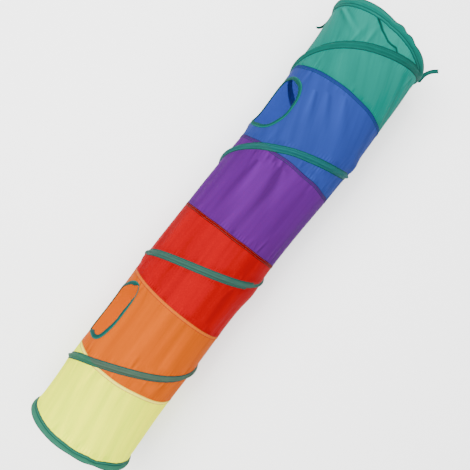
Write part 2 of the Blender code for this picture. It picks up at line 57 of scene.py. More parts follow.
# The six panels from the yellow end to the green end, and what each one is sewn to
COLOURS = ("yellow", "orange", "red", "purple", "blue", "green")
ENDS = ("yellow", "green")
BODIES = {colour: f"{colour}_section" for colour in COLOURS}
BODIES.update({colour: f"{colour}_end" for colour in ENDS})
GATHER_JOINTS = {colour: f"{colour}_gather" for colour in COLOURS}
GATHER_JOINTS.update(dict.fromkeys(ENDS, "tunnel_collapse"))

# Where the tunnel's station 0 lies in the shared frame, on the floor under its straight axis
FRAME_SHIFT = (-0.593543, 0.009843, 0.000012)
ROUND = math.cos(math.radians(5))  # the round wall runs inside the corners of the solid one

# How the slack tunnel lies, at the yellow end, at each seam and at the green end
SWAYS = (0.001, 0.005, 0.005, 0.004, -0.004, -0.0065, 0.0)
LEANS = (-0.007, -0.005, 0.008, 0.0, 0.002, 0.003, 0.010)
NODS = (0.005, 0.0, 0.0, 0.0, 0.0, 0.0, 0.005)

# The helix of the spring wire: how far it climbs in each quarter turn, and how it starts
QUARTER_TURN_CLIMBS = (
    *(0.051, 0.0794, 0.082, 0.0655),
    *(0.066, 0.0715, 0.0667, 0.0558),
    *(0.077, 0.096, 0.091, 0.0545),
    *(0.051, 0.074, 0.0963, 0.0671),
)
RAMP_START = math.pi
RAMP_END = RAMP_START + math.pi / 2 * len(QUARTER_TURN_CLIMBS)
RAMP_EASE = 0.45  # of its usual slope, where the ramp leaves an end loop
TURNS_SEARCHED = 6  # whole turns, enough to pass the end of the ramp
LOOP_INSET = 0.004  # of each end loop from its end of the tunnel
LAP_SPACING = 0.0026  # between the two wires in a ferrule
LAP_TURN = math.radians(15)  # how far the two wires run side by side in a ferrule
WIRE_RINGS, WIRE_SIDES = 880, 8

# Heights over the skin
CLOTH_GAP = 0.0003  # under the tape
WIRE_HEIGHT = 0.0013  # of the wire's middle on its ramp
LOOP_HEIGHT = 0.0021  # of the wire's middle in the end loops
CREST_HEIGHT = 0.0055  # of the tape where it runs over the wire
HOLE_STITCH_HEIGHT = 0.00115
END_STITCH_HEIGHT = 0.00135

# Seams
SEAM_BAND = 0.008  # where two panels' edges are felled together
SEAM_TUCK = 0.0045  # how far a middle panel's edge runs on under the next panel
LAP = 0.008  # of each panel's own long seam
UNDERSIDE = -math.pi / 2  # the turn where that long seam touches the floor

# How far from its seams the rows of a panel's cloth lie: those at its start, those of the
# felled band at its end and those of the edge tucked under it
START_ROWS = (0.0, 0.0007, 0.0016, 0.003)
BAND_ROWS = (0.0102, 0.009, 0.0084, 0.0078, 0.0072, 0.006, 0.0036, 0.0022, 0.0014)
TUCK_ROWS = (-0.0008, -0.0003, 0.0, 0.0003, 0.0008)
END_INSET = 0.0016  # how far short of the tunnel's ends the cloth stops, in the end bindings
ROW_PITCH = 0.0028
PLEAT_ROW_PITCH = 0.0016  # on the green panel, for its sharp pleat

# The casing tape
BINDING_CREST = 0.0092  # where the casing tape runs in under the crest of an end binding
TAPE_STEP = math.radians(1.5)
TAPE_RUN_ON = 0.2  # past both ends of the ramp, in radians

# Corners of an end binding's profile, counted from 0: the rim, where the crest's top starts,
# and those where the tape shows a darker line
RIM_CORNER = 5
TOP_CORNER = 9
LINE_CORNERS = (7, 9, 15)

# How many points run once round the tunnel or round a side hole
PANEL_COLUMNS = 480
BINDING_COLUMNS = 540
HOLE_COLUMNS = 300
STITCH_COLUMNS = 720
HOLE_STITCH_COLUMNS = 360
OUTLINE_CORNERS = 240

# How far each row of stitches runs from a tape's edge, a seam or a hole's edge
EDGE_STITCHES = 0.0018
SEAM_STITCHES = (0.0018, 0.0066)
HOLE_STITCHES = 0.0011
CREST_STITCHES = 0.0142  # from the tunnel's end, behind the crest of its binding

# Where the random draws of each kind of unevenness start
SEEDS = {
    **{"broad folds": 10, "fray": 33, "puckers": 50, "uneven puckers": 70, "tape": 70},
    **{"yellow binding": 81, "green binding": 91, "patches": 90, "hole": 97},
    **{"seam": 120, "creases": 210},
}
CREASES = 64  # on each panel

# How far each panel's folds twist round it along its length, in radians a metre
FOLD_TWISTS = dict(zip(COLOURS, (1.2, 0.2, 0.0, 0.0, 3.0, 3.5)))

# How deep each panel's broad folds are, and how strong the painted shade of them is
BROAD_FOLDS = dict(zip(COLOURS, (0.35, 0.4, 0.45, 0.8, 0.75, 0.7)))

# How far each seam wanders along the tunnel, from yellow and orange to blue and green
SEAM_WANDERS = (0.0015, 0.0010, 0.0008, 0.0010, 0.0009)
WANDER_REACH = 0.022

# The sharp pleat that runs in from the green end's binding, as (station, turn in degrees)
PLEAT = (
    *((1.1386, 76.4), (1.1243, 86.5), (1.1150, 96.9)),
    *((1.1149, 101.6), (1.1179, 107.7), (1.1099, 112.8)),
)
PLEAT_DEPTH = 0.0016
PLEAT_WIDTH = 0.0016

# The folds that stand out: panel, station, turn, way along, slant, reach, width and depth
LONG_FOLDS = (
    ("purple", 0.775, 1.199, -1, 0.04, 0.030, 0.0022, 1.3),
    ("purple", 0.781, 1.293, -1, 0.18, 0.034, 0.0024, 1.4),
    ("purple", 0.780, 1.461, -1, 0.21, 0.040, 0.0024, 1.4),
    ("purple", 0.770, 1.380, -1, 0.12, 0.030, 0.0020, 1.2),
    ("purple", 0.752, 1.120, -1, -0.07, 0.190, 0.0045, -1.3),
    ("purple", 0.766, 1.520, -1, 0.14, 0.160, 0.0060, -1.2),
    ("purple", 0.766, 1.330, -1, 0.06, 0.170, 0.0110, 0.7),
    ("blue", 0.955, 1.350, -1, 0.45, 0.110, 0.0045, 1.0),
    ("blue", 0.945, 1.130, -1, 0.34, 0.090, 0.0035, 1.1),
    ("blue", 0.970, 1.600, -1, 0.52, 0.110, 0.0060, 0.8),
    ("green", 1.136, 0.420, -1, 1.60, 0.060, 0.0065, -1.5),
    ("green", 1.136, 0.560, -1, 1.50, 0.055, 0.0060, 1.0),
)

# Where slack cloth stands out: panel, station, turn in degrees, length, spread in degrees, height
BULGES = (
    ("red", 0.508, 177, 0.034, 26, 0.0048),
    ("red", 0.416, 2, 0.014, 16, 0.0035),
    ("blue", 0.886, 172, 0.020, 22, 0.0052),
    ("blue", 0.820, 4, 0.016, 17, 0.0050),
)

# Where each end's binding is pinched: (turn in degrees, how far its rim is pulled in,
# how wide that is in degrees, how far its inner edge is pulled towards the rim)
BINDING_DENTS = {
    "yellow": (
        *((20, 0.0, 14, 0.002), (66, 0.0, 20, 0.0028), (96, 0.0012, 12, 0.0036)),
        *((119, 0.0028, 8, 0.0042), (150, -0.0012, 14, 0.001), (176, 0.001, 9, 0.0046)),
    ),
    "green": (
        *((60, -0.0008, 10, 0.0), (84, 0.0016, 6, 0.0), (92, 0.0032, 4.5, -0.001)),
        *((101, -0.001, 4, 0.0), (107, 0.0026, 4, 0.0), (114, -0.0006, 4, 0.0)),
        *((122, 0.0026, 5, 0.0008), (140, -0.001, 8, 0.0), (200, 0.0015, 9, 0.0)),
    ),
}

# Side holes: station, turn, half length, half width, squareness and slant
SIDE_HOLES = {
    "orange": (0.290, math.radians(26), 0.071, 0.056, 3.2, 0.54),
    "blue": (0.8825, math.radians(30), 0.0705, 0.062, 2.5, 0.0),
}
HOLE_BINDING_WIDTH = 0.0084
HOLE_GIRTH = 0.44
# (Angle round the hole in degrees, share of the binding's width that isn't folded under)
HOLE_WIDTHS = {
    "orange": (
        *((0, 1.2), (24, 1.25), (33, 0.9), (40, 0.3), (60, 0.3), (70, 0.7), (92, 1.05)),
        *((130, 1.25), (160, 1.3), (178, 1.5), (200, 0.8), (240, 0.6), (320, 0.7)),
    ),
    "blue": (
        *((0, 1.1), (20, 1.35), (40, 1.2), (70, 0.8), (100, 0.85), (130, 1.0)),
        *((160, 1.1), (190, 1.2), (215, 1.2), (250, 1.3), (320, 1.3)),
    ),
}

# The colours of each panel's felled edge, darkened as painted shade where two layers of cloth let less
# light through, and of the lines of stitching beside it
BAND_TONES = {
    "yellow": ((0.80, 0.70, 0.10), (0.50, 0.30, 0.03)),
    "orange": ((0.50, 0.11, 0.002), (0.33, 0.018, 0.0)),
    "red": ((0.11, 0.001, 0.001), (0.075, 0.0, 0.0)),
    "purple": ((0.042, 0.006, 0.090), (0.028, 0.004, 0.065)),
    "blue": ((0.010, 0.022, 0.120), (0.006, 0.015, 0.080)),
    "green": ((0.005, 0.10, 0.078), (0.003, 0.06, 0.050)),
}

# How much lighter each panel's inside is than its outside: painted light for the light that gets into the
# tunnel, over a paler uncoated side
INSIDE_PAINTED_LIGHT = dict(zip(COLOURS, (1.3, 1.4, 1.3, 1.3, 1.7, 1.3)))

# How much darker the tape looks over its wire than folded flat over an end
CASING_SHADE = 0.72

# The share of each panel's colour that shows through the sheer tape over it
THROUGH_TAPE = dict(zip(COLOURS, (0.015, 0.06, 0.048, 0.06, 0.08, 0.06)))

# Ribbon ties, sewn to the green end's binding
TIE_INSET = 0.0058
TIE_SEAT = 0.0006
RIBBON_THICKNESS = 0.0006
FRONT_TIE_TURN = math.pi
FRONT_TIE_REACH = 0.024
FRONT_TIE_ADVANCE = 0.052
FRONT_TIE_DROOP = 0.010
# What bends the front tie on its way, seen from its root: first along the rim, then past it
FRONT_TIE_PULLS = np.array([(0.019, -0.0005, -0.003), (0.034, -0.0010, -0.006)])
BACK_TIE_TURN = math.radians(-20)
BACK_TIE_REACH = 0.0165
BACK_TIE_TRAIL = 0.041

# The photograph's viewpoint: straight above, with the green end at its upper right
VIEW_POINT = (-0.000543, 0.012643)
VIEW_RIGHT = (0.604, -0.797)
FRAME_PIXELS = 470
FOCUS_PIXELS = 540
SHIFT_PIXELS = (3, -3)
SENSOR_WIDTH = 36


def length_property(name, description, default, least=0.0):
    return FloatProperty(
        name=name, description=description, default=default, min=least, unit="LENGTH", precision=4
    )


def colour_property(name, description, default):
    return FloatVectorProperty(
        name=name,
        description=description,
        default=default,
        size=3,
        min=0.0,
        max=1.0,
        subtype="COLOR",
    )


class CatTunnelSizes(bpy.types.PropertyGroup):
    """Sizes of the cloth, the tapes and the stitching."""

    yellow: length_property("Yellow panel", "Length of the yellow panel", 0.191, 0.05)
    orange: length_property("Orange panel", "Length of the orange panel", 0.196, 0.05)
    red: length_property("Red panel", "Length of the red panel", 0.201, 0.05)
    purple: length_property("Purple panel", "Length of the purple panel", 0.198, 0.05)
    blue: length_property("Blue panel", "Length of the blue panel", 0.199, 0.05)
    green: length_property("Green panel", "Length of the green panel", 0.173, 0.05)
    skin_radius: length_property("Skin radius", "Radius of the cloth tube", 0.127, 0.05)
    waist: length_property("Waist", "How far the cloth pulls in between two wires", 0.0018)
    fold_depth: length_property("Fold depth", "Depth of the long soft folds", 0.0013)
    gather_depth: length_property("Gather depth", "Depth of the puckers along a tape", 0.0008)
    gather_reach: length_property("Gather reach", "How far the puckers run from a tape", 0.019)
    tape_width: length_property("Tape width", "Width of the casing tape", 0.019, 0.01)
    tape_thickness: length_property("Tape thickness", "Thickness of the tape", 0.0008)
    binding_width: length_property("Binding width", "Width of the end bindings", 0.020, 0.01)
    wire_radius: length_property("Wire radius", "Radius of the spring wire", 0.001)
    tie_width: length_property("Tie width", "Width of the ribbon ties", 0.0095)
    stitch_length: length_property("Stitch length", "Length of one stitch", 0.0026)
    stitch_gap: length_property("Stitch gap", "From one stitch to the next", 0.0009)
    thread_radius: length_property("Thread radius", "Radius of the sewing thread", 0.00022)


class CatTunnelColours(bpy.types.PropertyGroup):
    """Colours of the cloth, the tapes and the thread."""

    yellow: colour_property("Yellow", "Yellow cloth", (0.74, 1.0, 0.0))
    orange: colour_property("Orange", "Orange cloth", (0.42, 0.076, 0.0))
    red: colour_property("Red", "Red cloth", (0.30, 0.0, 0.003))
    purple: colour_property("Purple", "Purple cloth", (0.074, 0.0090, 0.138))
    blue: colour_property("Blue", "Blue cloth", (0.0185, 0.039, 0.190))
    green: colour_property("Green", "Green cloth", (0.006, 0.143, 0.110))
    tape: colour_property("Tape", "Casing tape and bindings", (0.004, 0.070, 0.054))
    hem: colour_property("Hem", "Folded edges of the tape", (0.002, 0.036, 0.030))
    thread: colour_property("Thread", "Sewing thread", (0.006, 0.075, 0.060))
    ribbon: colour_property("Ribbon", "Ribbon ties", (0.004, 0.056, 0.044))
    see_through: FloatProperty(
        name="See-through",
        description="Share of light that passes through one layer of cloth",
        default=0.42,
        min=0.0,
        max=1.0,
        subtype="FACTOR",
    )


class CatTunnelStage(bpy.types.PropertyGroup):
    """The floor, the lights and the camera."""

    floor: colour_property("Floor", "Pale floor", (0.95, 0.95, 0.95))
    key_power: FloatProperty(
        name="Key light", description="Power of the main soft light", default=95.0, unit="POWER"
    )
    fill_power: FloatProperty(
        name="Fill light", description="Power of the light above", default=120.0, unit="POWER"
    )
    sky: FloatProperty(
        name="Sky", description="Strength of the even light all round", default=1.6, min=0.0
    )
    camera_height: length_property(
        "Camera height", "Height of the camera above the tunnel's middle line", 1.275, 0.5
    )


# The lie of the cloth


def smoothstep(share):
    share = np.clip(share, 0.0, 1.0)
    return share * share * (3 - 2 * share)


def apart(turn, other):
    """How far one turn is from the other, from minus half a turn to half a turn."""
    return np.mod(turn - other + math.pi, 2 * math.pi) - math.pi


def once_round(columns):
    """Turns from the underside once round the tunnel. The last is the first one again."""
    return UNDERSIDE + np.linspace(0, 2 * math.pi, columns + 1)


def unit(vectors):
    return vectors / np.maximum(np.linalg.norm(vectors, axis=-1, keepdims=True), 1e-12)


def square_to(vectors, ahead):
    """These vectors turned square to a direction, and made one long."""
    return unit(vectors - (vectors * ahead).sum(axis=1, keepdims=True) * ahead)


def run_along(path):
    """How far along a path each of its points is."""
    return np.concatenate([[0.0], np.cumsum(np.linalg.norm(np.diff(path, axis=0), axis=1))])


def cloth_places(rows, columns):
    """The places on flat cloth of each row and column."""
    return np.stack(np.meshgrid(rows, columns, indexing="ij"), axis=-1)


def through(values, place, ease=1.0):
    """A smooth curve through equally spaced values. ease scales its slope at both ends."""
    values = np.asarray(values, float)
    last = len(values) - 1
    slopes = np.gradient(values)
    slopes[[0, -1]] *= ease
    place = np.clip(place, 0, last)
    index = np.minimum(place.astype(int), last - 1)
    share = place - index
    square, cube = share**2, share**3
    return (
        (2 * cube - 3 * square + 1) * values[index]
        + (cube - 2 * square + share) * slopes[index]
        + (3 * square - 2 * cube) * values[index + 1]
        + (cube - square) * slopes[index + 1]
    )


def ripples(seed, cycles, count, turn, along, drift):
    """Waves round the tunnel, from about -1 to 1, that swell and wander along it."""
    dice = np.random.default_rng(seed)
    total = 0.0
    for _ in range(count):
        number = dice.integers(*cycles)
        swell = 0.65 + 0.35 * np.cos(dice.uniform(6, 22) * along + dice.uniform(0, 2 * math.pi))
        wander = drift * dice.normal() * along
        total = total + swell * np.cos(number * (turn + wander) + dice.uniform(0, 2 * math.pi))
    return total / math.sqrt(count / 2) / 1.6


class Tunnel:
    """Where the cloth, the tapes and the wire run, from the sizes in the sidebar."""

    def __init__(self, sizes):
        self.sizes = sizes
        self.lengths = [getattr(sizes, colour) for colour in COLOURS]
        self.seams = np.concatenate([[0.0], np.cumsum(self.lengths)])
        self.length = float(self.seams[-1])
        self.axis_height = (sizes.skin_radius + CREST_HEIGHT) * ROUND + sizes.tape_thickness
        self.tape_height = CLOTH_GAP + sizes.tape_thickness * 0.8
        room = self.length - 2 * (LOOP_INSET + LAP_SPACING)
        climbs = np.array(QUARTER_TURN_CLIMBS) * room / sum(QUARTER_TURN_CLIMBS)
        self.nodes = LOOP_INSET + LAP_SPACING + np.concatenate([[0.0], np.cumsum(climbs)])

    def placed(self, station, across, up):
        """Points given from the straight axis, moved as the slack tunnel sways and leans."""
        index = np.searchsorted(self.seams[:-1], np.maximum(station, 0), side="right") - 1
        share = (station - self.seams[index]) / (self.seams[index + 1] - self.seams[index])
        sway, lean, nod = (through(values, index + share) for values in (SWAYS, LEANS, NODS))
        x = station + (lean * across + nod * up) / self.sizes.skin_radius
        where = np.stack([x, across + sway, self.axis_height + up], axis=-1)
        return where + np.array(FRAME_SHIFT)

    def wandered(self, station, turn):
        """A station moved along the tunnel by the waviness of the seam next to it."""
        moved = station
        for index, seam in enumerate(self.seams[1:-1]):
            wave = ripples(SEEDS["seam"] + index, (3, 12), 6, turn, 0.0, 0.0)
            near = np.exp(-(((station - seam) / WANDER_REACH) ** 2))
            moved = moved + SEAM_WANDERS[index] * wave * near
        return moved

    def rolled(self, station, turn, height):
        """Points on the round wall, this high above the skin."""
        station = self.wandered(station, turn)
        radius = (self.sizes.skin_radius + height) * ROUND
        return self.placed(station, radius * np.cos(turn), radius * np.sin(turn))

    def ramp_station(self, turn):
        """The station of the wire on its ramp. Before and after it, that of the ramp's end."""
        return through(self.nodes, (turn - RAMP_START) / (math.pi / 2), RAMP_EASE)

    def turns_of_wire(self, turn):
        """The stations at which the wire crosses this line, and whether each is on the ramp."""
        turns = np.mod(turn, 2 * math.pi)[..., None] + 2 * math.pi * np.arange(TURNS_SEARCHED)
        return self.ramp_station(turns), (turns > RAMP_START) & (turns < RAMP_END)

    def from_tape(self, station, turn):
        """The distance to the edge of the nearest tape or end binding, below 0 under it."""
        crossings, real = self.turns_of_wire(turn)
        off = np.where(real, np.abs(station[..., None] - crossings), 1.0).min(axis=-1)
        off = off - self.sizes.tape_width / 2
        ends = np.minimum(station, self.length - station) - self.sizes.binding_width
        return np.minimum(off, ends)

    def sink(self, station, turn):
        """How far the skin is pulled in between two turns of wire."""
        crossings, real = self.turns_of_wire(turn)
        half, binding = self.sizes.tape_width / 2, self.sizes.binding_width
        behind = real & (crossings <= station[..., None])
        beyond = real & (crossings > station[..., None])
        low = np.where(behind, crossings + half, binding).max(axis=-1)
        high = np.where(beyond, crossings - half, self.length - binding).min(axis=-1)
        span = np.maximum(high - low, 1e-6)
        share = np.clip((station - low) / span, 0.0, 1.0)
        depth = self.sizes.waist * np.minimum(1.0, span / (2 * self.sizes.skin_radius))
        return depth * np.sin(math.pi * share) ** 2

    def folded_turn(self, colour, station, turn):
        """The turn that stays the same along one fold of this panel."""
        index = COLOURS.index(colour)
        middle = (self.seams[index] + self.seams[index + 1]) / 2
        return turn + FOLD_TWISTS[colour] * (station - middle)

    def creases(self, colour):
        """(station, turn, way, slant, reach, width, depth) of each crease from a tape or a seam."""
        index = COLOURS.index(colour)
        start, end = self.seams[index], self.seams[index + 1]
        half = self.sizes.tape_width / 2
        dice = np.random.default_rng(SEEDS["creases"] + index)
        found = []
        while len(found) < CREASES:
            turn = dice.uniform(0, 2 * math.pi)
            crossings, real = self.turns_of_wire(np.array(turn))
            edges = [(start, 1), (end, -1)]
            for crossing in crossings[real]:
                edges += 2 * [(crossing + half, 1), (crossing - half, -1)]
            edges = [edge for edge in edges if start <= edge[0] <= end]
            station, way = edges[dice.integers(len(edges))]
            reach = 0.018 + 0.075 * dice.uniform() ** 2
            width = dice.uniform(0.0016, 0.0032)
            depth = dice.choice((-0.6, 1.0)) * dice.uniform(0.35, 1.0)
            found.append((station, turn, way, dice.normal(0, 0.16), reach, width, depth))
        return found

    def folds(self, colour, station, turn):
        """(broad folds, puckers, fine creases) of a panel, each from about -1 to 1."""
        index = COLOURS.index(colour)
        start, end = self.seams[index], self.seams[index + 1]
        along = station - (start + end) / 2
        lie = self.folded_turn(colour, station, turn)
        seam = np.minimum(
            np.abs(station - start) if index else 1.0,
            np.abs(end - station) if index < len(COLOURS) - 1 else 1.0,
        )
        edge = np.minimum(self.from_tape(station, turn), seam)
        reach = self.sizes.gather_reach
        broad = np.tanh(1.4 * ripples(SEEDS["broad folds"] + index, (7, 24), 8, lie, along, 0.5))
        patches = 0.5 + 0.9 * ripples(SEEDS["patches"] + index, (1, 6), 5, lie, along, 0.2)
        broad = broad * np.clip(patches, 0.08, 1.2) * smoothstep(edge / reach)
        near = smoothstep(edge / 0.003) * (1 - smoothstep(edge / reach))
        uneven = 0.6 + 0.6 * ripples(SEEDS["uneven puckers"] + index, (2, 9), 4, turn, along, 0.0)
        puckers = ripples(SEEDS["puckers"] + index, (40, 70), 7, turn, along, 0.1)
        puckers = (2 * np.abs(puckers) - 0.9) * near * np.clip(uneven, 0, 1.3)
        fine = np.zeros(np.broadcast_shapes(np.shape(station), np.shape(turn)))
        radius = self.sizes.skin_radius
        long_folds = [fold for named, *fold in LONG_FOLDS if named == colour]
        for place, angle, way, slant, length, width, depth in self.creases(colour) + long_folds:
            out = way * (station - place)
            off = apart(turn - angle, slant * out / radius)
            off = off * radius / (width * (1 + np.maximum(out, 0) / 0.04))
            shown = smoothstep(out / 0.004) * (1 - smoothstep(out / length))
            fine += depth * shown * (np.exp(-(off**2)) - 0.75 * np.exp(-((off - 1.6) ** 2)))
        return broad, puckers, np.clip(fine * smoothstep(edge / 0.002), -1.4, 1.4)

    def from_pleat(self, station, turn):
        """The distance to the pleat by the green end."""
        nearest = np.full(np.shape(station), 1.0)
        corners = [(place, math.radians(angle)) for place, angle in PLEAT]
        radius = self.sizes.skin_radius
        for (s0, t0), (s1, t1) in zip(corners, corners[1:]):
            step, rise = s1 - s0, (t1 - t0) * radius
            x, y = station - s0, (turn - t0) * radius
            share = np.clip((x * step + y * rise) / (step**2 + rise**2), 0, 1)
            nearest = np.minimum(nearest, np.hypot(x - share * step, y - share * rise))
        return nearest

    def cloth_height(self, colour, station, turn):
        """The height of a panel's cloth over the skin, with its folds and puckers."""
        index = COLOURS.index(colour)
        broad, puckers, fine = self.folds(colour, station, turn)
        sizes = self.sizes
        clear = smoothstep(self.from_tape(station, turn) / sizes.gather_reach)
        slack = broad * (0.4 + 0.6 * BROAD_FOLDS[colour]) - 0.3
        height = sizes.fold_depth * slack * clear
        for named, place, angle, length, spread, lift in BULGES:
            if named == colour:
                off = apart(turn, math.radians(angle))
                spot = ((station - place) / length) ** 2 + (off / math.radians(spread)) ** 2
                height = height + lift * np.exp(-spot)
        if colour == "green":
            pleat = self.from_pleat(station, turn) / PLEAT_WIDTH
            height = height - PLEAT_DEPTH * np.exp(-(pleat**2))
        return (
            height
            + sizes.gather_depth * (puckers + 0.8 * fine)
            - self.sink(station, turn)
            + self.seam_height(index, station, turn)
        )

    def seam_height(self, index, station, turn):
        """The step of a panel's felled edges, and of its own long seam underneath."""
        height = np.zeros(np.shape(station))
        if index < len(COLOURS) - 1:
            end = self.seams[index + 1]
            band = smoothstep((station - end + SEAM_BAND + 0.0005) / 0.001)
            tuck = smoothstep((station - end + 0.0012) / 0.0014)
            height = height + 0.0004 * band - 0.0022 * tuck
        if index:
            start = self.seams[index]
            height = height + 0.0002 * (1 - smoothstep((station - start - 0.004) / 0.008))
        off = (turn - UNDERSIDE) * self.sizes.skin_radius
        lap = smoothstep((off + 0.001) / 0.001) * (1 - smoothstep((off - LAP) / 0.001))
        return height + 0.0003 * lap

    def binding_dents(self, colour, turn):
        """How far an end binding's rim is pulled in here, and its inner edge towards the rim."""
        scallops, narrow = np.zeros_like(turn), np.zeros_like(turn)
        for angle, depth, spread, gather in BINDING_DENTS[colour]:
            off = apart(turn, math.radians(angle))
            dent = np.exp(-((off / math.radians(spread)) ** 2))
            scallops, narrow = scallops + depth * dent, narrow + gather * dent
        return scallops, narrow

    def hole_widths(self, colour, count):
        """The share of a hole's binding that shows, at this many places round the hole."""
        angles, widths = zip(*HOLE_WIDTHS[colour])
        around = np.linspace(0, 360, count, endpoint=False)
        return np.interp(around, angles, widths, period=360)

    def hole_edge(self, colour, count, inset):
        """(stations, turns) round a side hole, this far in from its binding's outer edge."""
        station, turn, half_length, half_width, squareness, slant = SIDE_HOLES[colour]

        def edge(angle):
            across, up = np.cos(angle), np.sin(angle)
            reach = np.abs(across) ** squareness + np.abs(up) ** squareness
            reach = reach ** (-1 / squareness)
            around = half_width * up * reach
            lean = slant * around * (1 + across) / 2
            return np.stack([station + half_length * across * reach + lean, around], axis=-1)

        angle = np.linspace(0, 2 * math.pi, count, endpoint=False)
        ahead = edge(angle + 0.004) - edge(angle - 0.004)
        inwards = unit(np.stack([-ahead[:, 1], ahead[:, 0]], axis=-1))
        points = edge(angle) + inwards * np.asarray(inset)[..., None]
        return points[..., 0], turn + points[..., 1] / self.sizes.skin_radius


def tunnel_of(context):
    return Tunnel(context.scene.cat_tunnel_sizes)


# Meshes


def mesh_object(name, points, corners, layers=None):
    """An object from points and its faces' corners, with a UV map for each named layer."""
    data = bpy.data.meshes.new(name)
    data.from_pydata(np.asarray(points).tolist(), [], np.asarray(corners).tolist())
    for layer, places in (layers or {}).items():
        data.uv_layers.new(name=layer).data.foreach_set(
            "uv", np.asarray(places, np.float32).ravel()
        )
    data.shade_smooth()
    data.update()
    made = bpy.data.objects.new(name, data)
    bpy.context.scene.collection.objects.link(made)
    return made


def grid_object(name, points, layers, wrap_columns=False, wrap_rows=False, keep=None):
    """A cloth of rows by columns of points. Its UV layers have one more place where it wraps."""
    rows, columns = points.shape[:2]
    index = np.arange(rows * columns).reshape(rows, columns)
    uv_index = np.arange((rows + wrap_rows) * (columns + wrap_columns))
    uv_index = uv_index.reshape(rows + wrap_rows, columns + wrap_columns)
    if wrap_columns:
        index = np.concatenate([index, index[:, :1]], axis=1)
    if wrap_rows:
        index = np.concatenate([index, index[:1]], axis=0)

    def cells(grid):
        around = (grid[:-1, :-1], grid[:-1, 1:], grid[1:, 1:], grid[1:, :-1])
        return np.stack(around, axis=-1).reshape(-1, 4)

    corners, uv_corners = cells(index), cells(uv_index)
    if keep is not None:
        corners, uv_corners = corners[keep.ravel()], uv_corners[keep.ravel()]
    places = {name: layer.reshape(-1, 2)[uv_corners.ravel()] for name, layer in layers.items()}
    points = points.reshape(-1, 3)
    used, corners = np.unique(corners, return_inverse=True)
    return mesh_object(name, points[used], corners.reshape(-1, 4), places)


def inside(stations, arcs, outline):
    """Which points lie inside a closed outline of (station, arc) points."""
    found = np.zeros(stations.shape, bool)
    for (x0, y0), (x1, y1) in zip(outline, np.roll(outline, -1, axis=0)):
        if y0 == y1:
            continue
        crosses = (arcs < y0) != (arcs < y1)
        found ^= crosses & (stations < x0 + (arcs - y0) / (y1 - y0) * (x1 - x0))
    return found


def round_bar(name, path, radius, sides):
    """A closed tube along a path, with flat ends."""
    ahead = unit(np.gradient(path, axis=0))
    middle = path.mean(axis=0) * np.array([0, 1, 1])
    outwards = square_to(path * np.array([0, 1, 1]) - middle, ahead)
    across = np.cross(ahead, outwards)
    angle = np.linspace(0, 2 * math.pi, sides, endpoint=False)[None, :, None]
    rings = path[:, None] + radius * (
        np.cos(angle) * outwards[:, None] + np.sin(angle) * across[:, None]
    )
    around = np.linspace(0, 2 * math.pi * radius, sides + 1)
    layer = cloth_places(run_along(path), around)
    made = grid_object(name, rings, {"cloth": layer}, wrap_columns=True)
    mesh = bmesh.new()
    mesh.from_mesh(made.data)
    bmesh.ops.holes_fill(mesh, edges=[edge for edge in mesh.edges if edge.is_boundary])
    bmesh.ops.recalc_face_normals(mesh, faces=mesh.faces)
    mesh.to_mesh(made.data)
    mesh.free()
    made.data.shade_smooth()
    return made


def stitches(middles, ahead, outwards, sizes):
    """Points and faces of short arched threads."""
    half = sizes.stitch_length / 2
    along = np.array([-1.0, -0.72, 0.0, 0.72, 1.0]) * half
    rise = np.array([-1.2, 0.5, 1.0, 0.5, -1.2]) * sizes.thread_radius
    thick = np.array([0.5, 1.0, 1.05, 1.0, 0.5]) * sizes.thread_radius
    across = np.cross(ahead, outwards)
    angle = np.linspace(0, 2 * math.pi, 5, endpoint=False)
    centres = (
        middles[:, None]
        + along[:, None] * ahead[:, None]
        + rise[:, None] * outwards[:, None]
    )
    ring = (
        np.cos(angle)[:, None] * across[:, None, None]
        + np.sin(angle)[:, None] * outwards[:, None, None]
    )
    points = centres[:, :, None] + thick[None, :, None, None] * ring
    rings, sides = len(along), len(angle)
    index = np.arange(rings * sides).reshape(rings, sides)
    index = np.concatenate([index, index[:, :1]], axis=1)
    cells = np.stack([index[:-1, :-1], index[1:, :-1], index[1:, 1:], index[:-1, 1:]], axis=-1)
    corners = cells.reshape(-1, 4)
    shifts = np.arange(len(middles))[:, None, None] * rings * sides
    return points.reshape(-1, 3), (corners[None] + shifts).reshape(-1, 4)


def stitched(path, sizes, closed=False):
    """The middle, direction and order of each stitch along a dense path of points."""
    if closed:
        path = np.concatenate([path, path[:1]])
    run = run_along(path)
    pitch = sizes.stitch_length + sizes.stitch_gap
    count = max(1, int(run[-1] / pitch))
    at = (np.arange(count) + 0.5) * run[-1] / count

    def point(place):
        return np.stack([np.interp(place, run, path[:, axis]) for axis in range(3)], axis=-1)

    return point(at), unit(point(at + pitch / 3) - point(at - pitch / 3)), at / run[-1]


# Materials


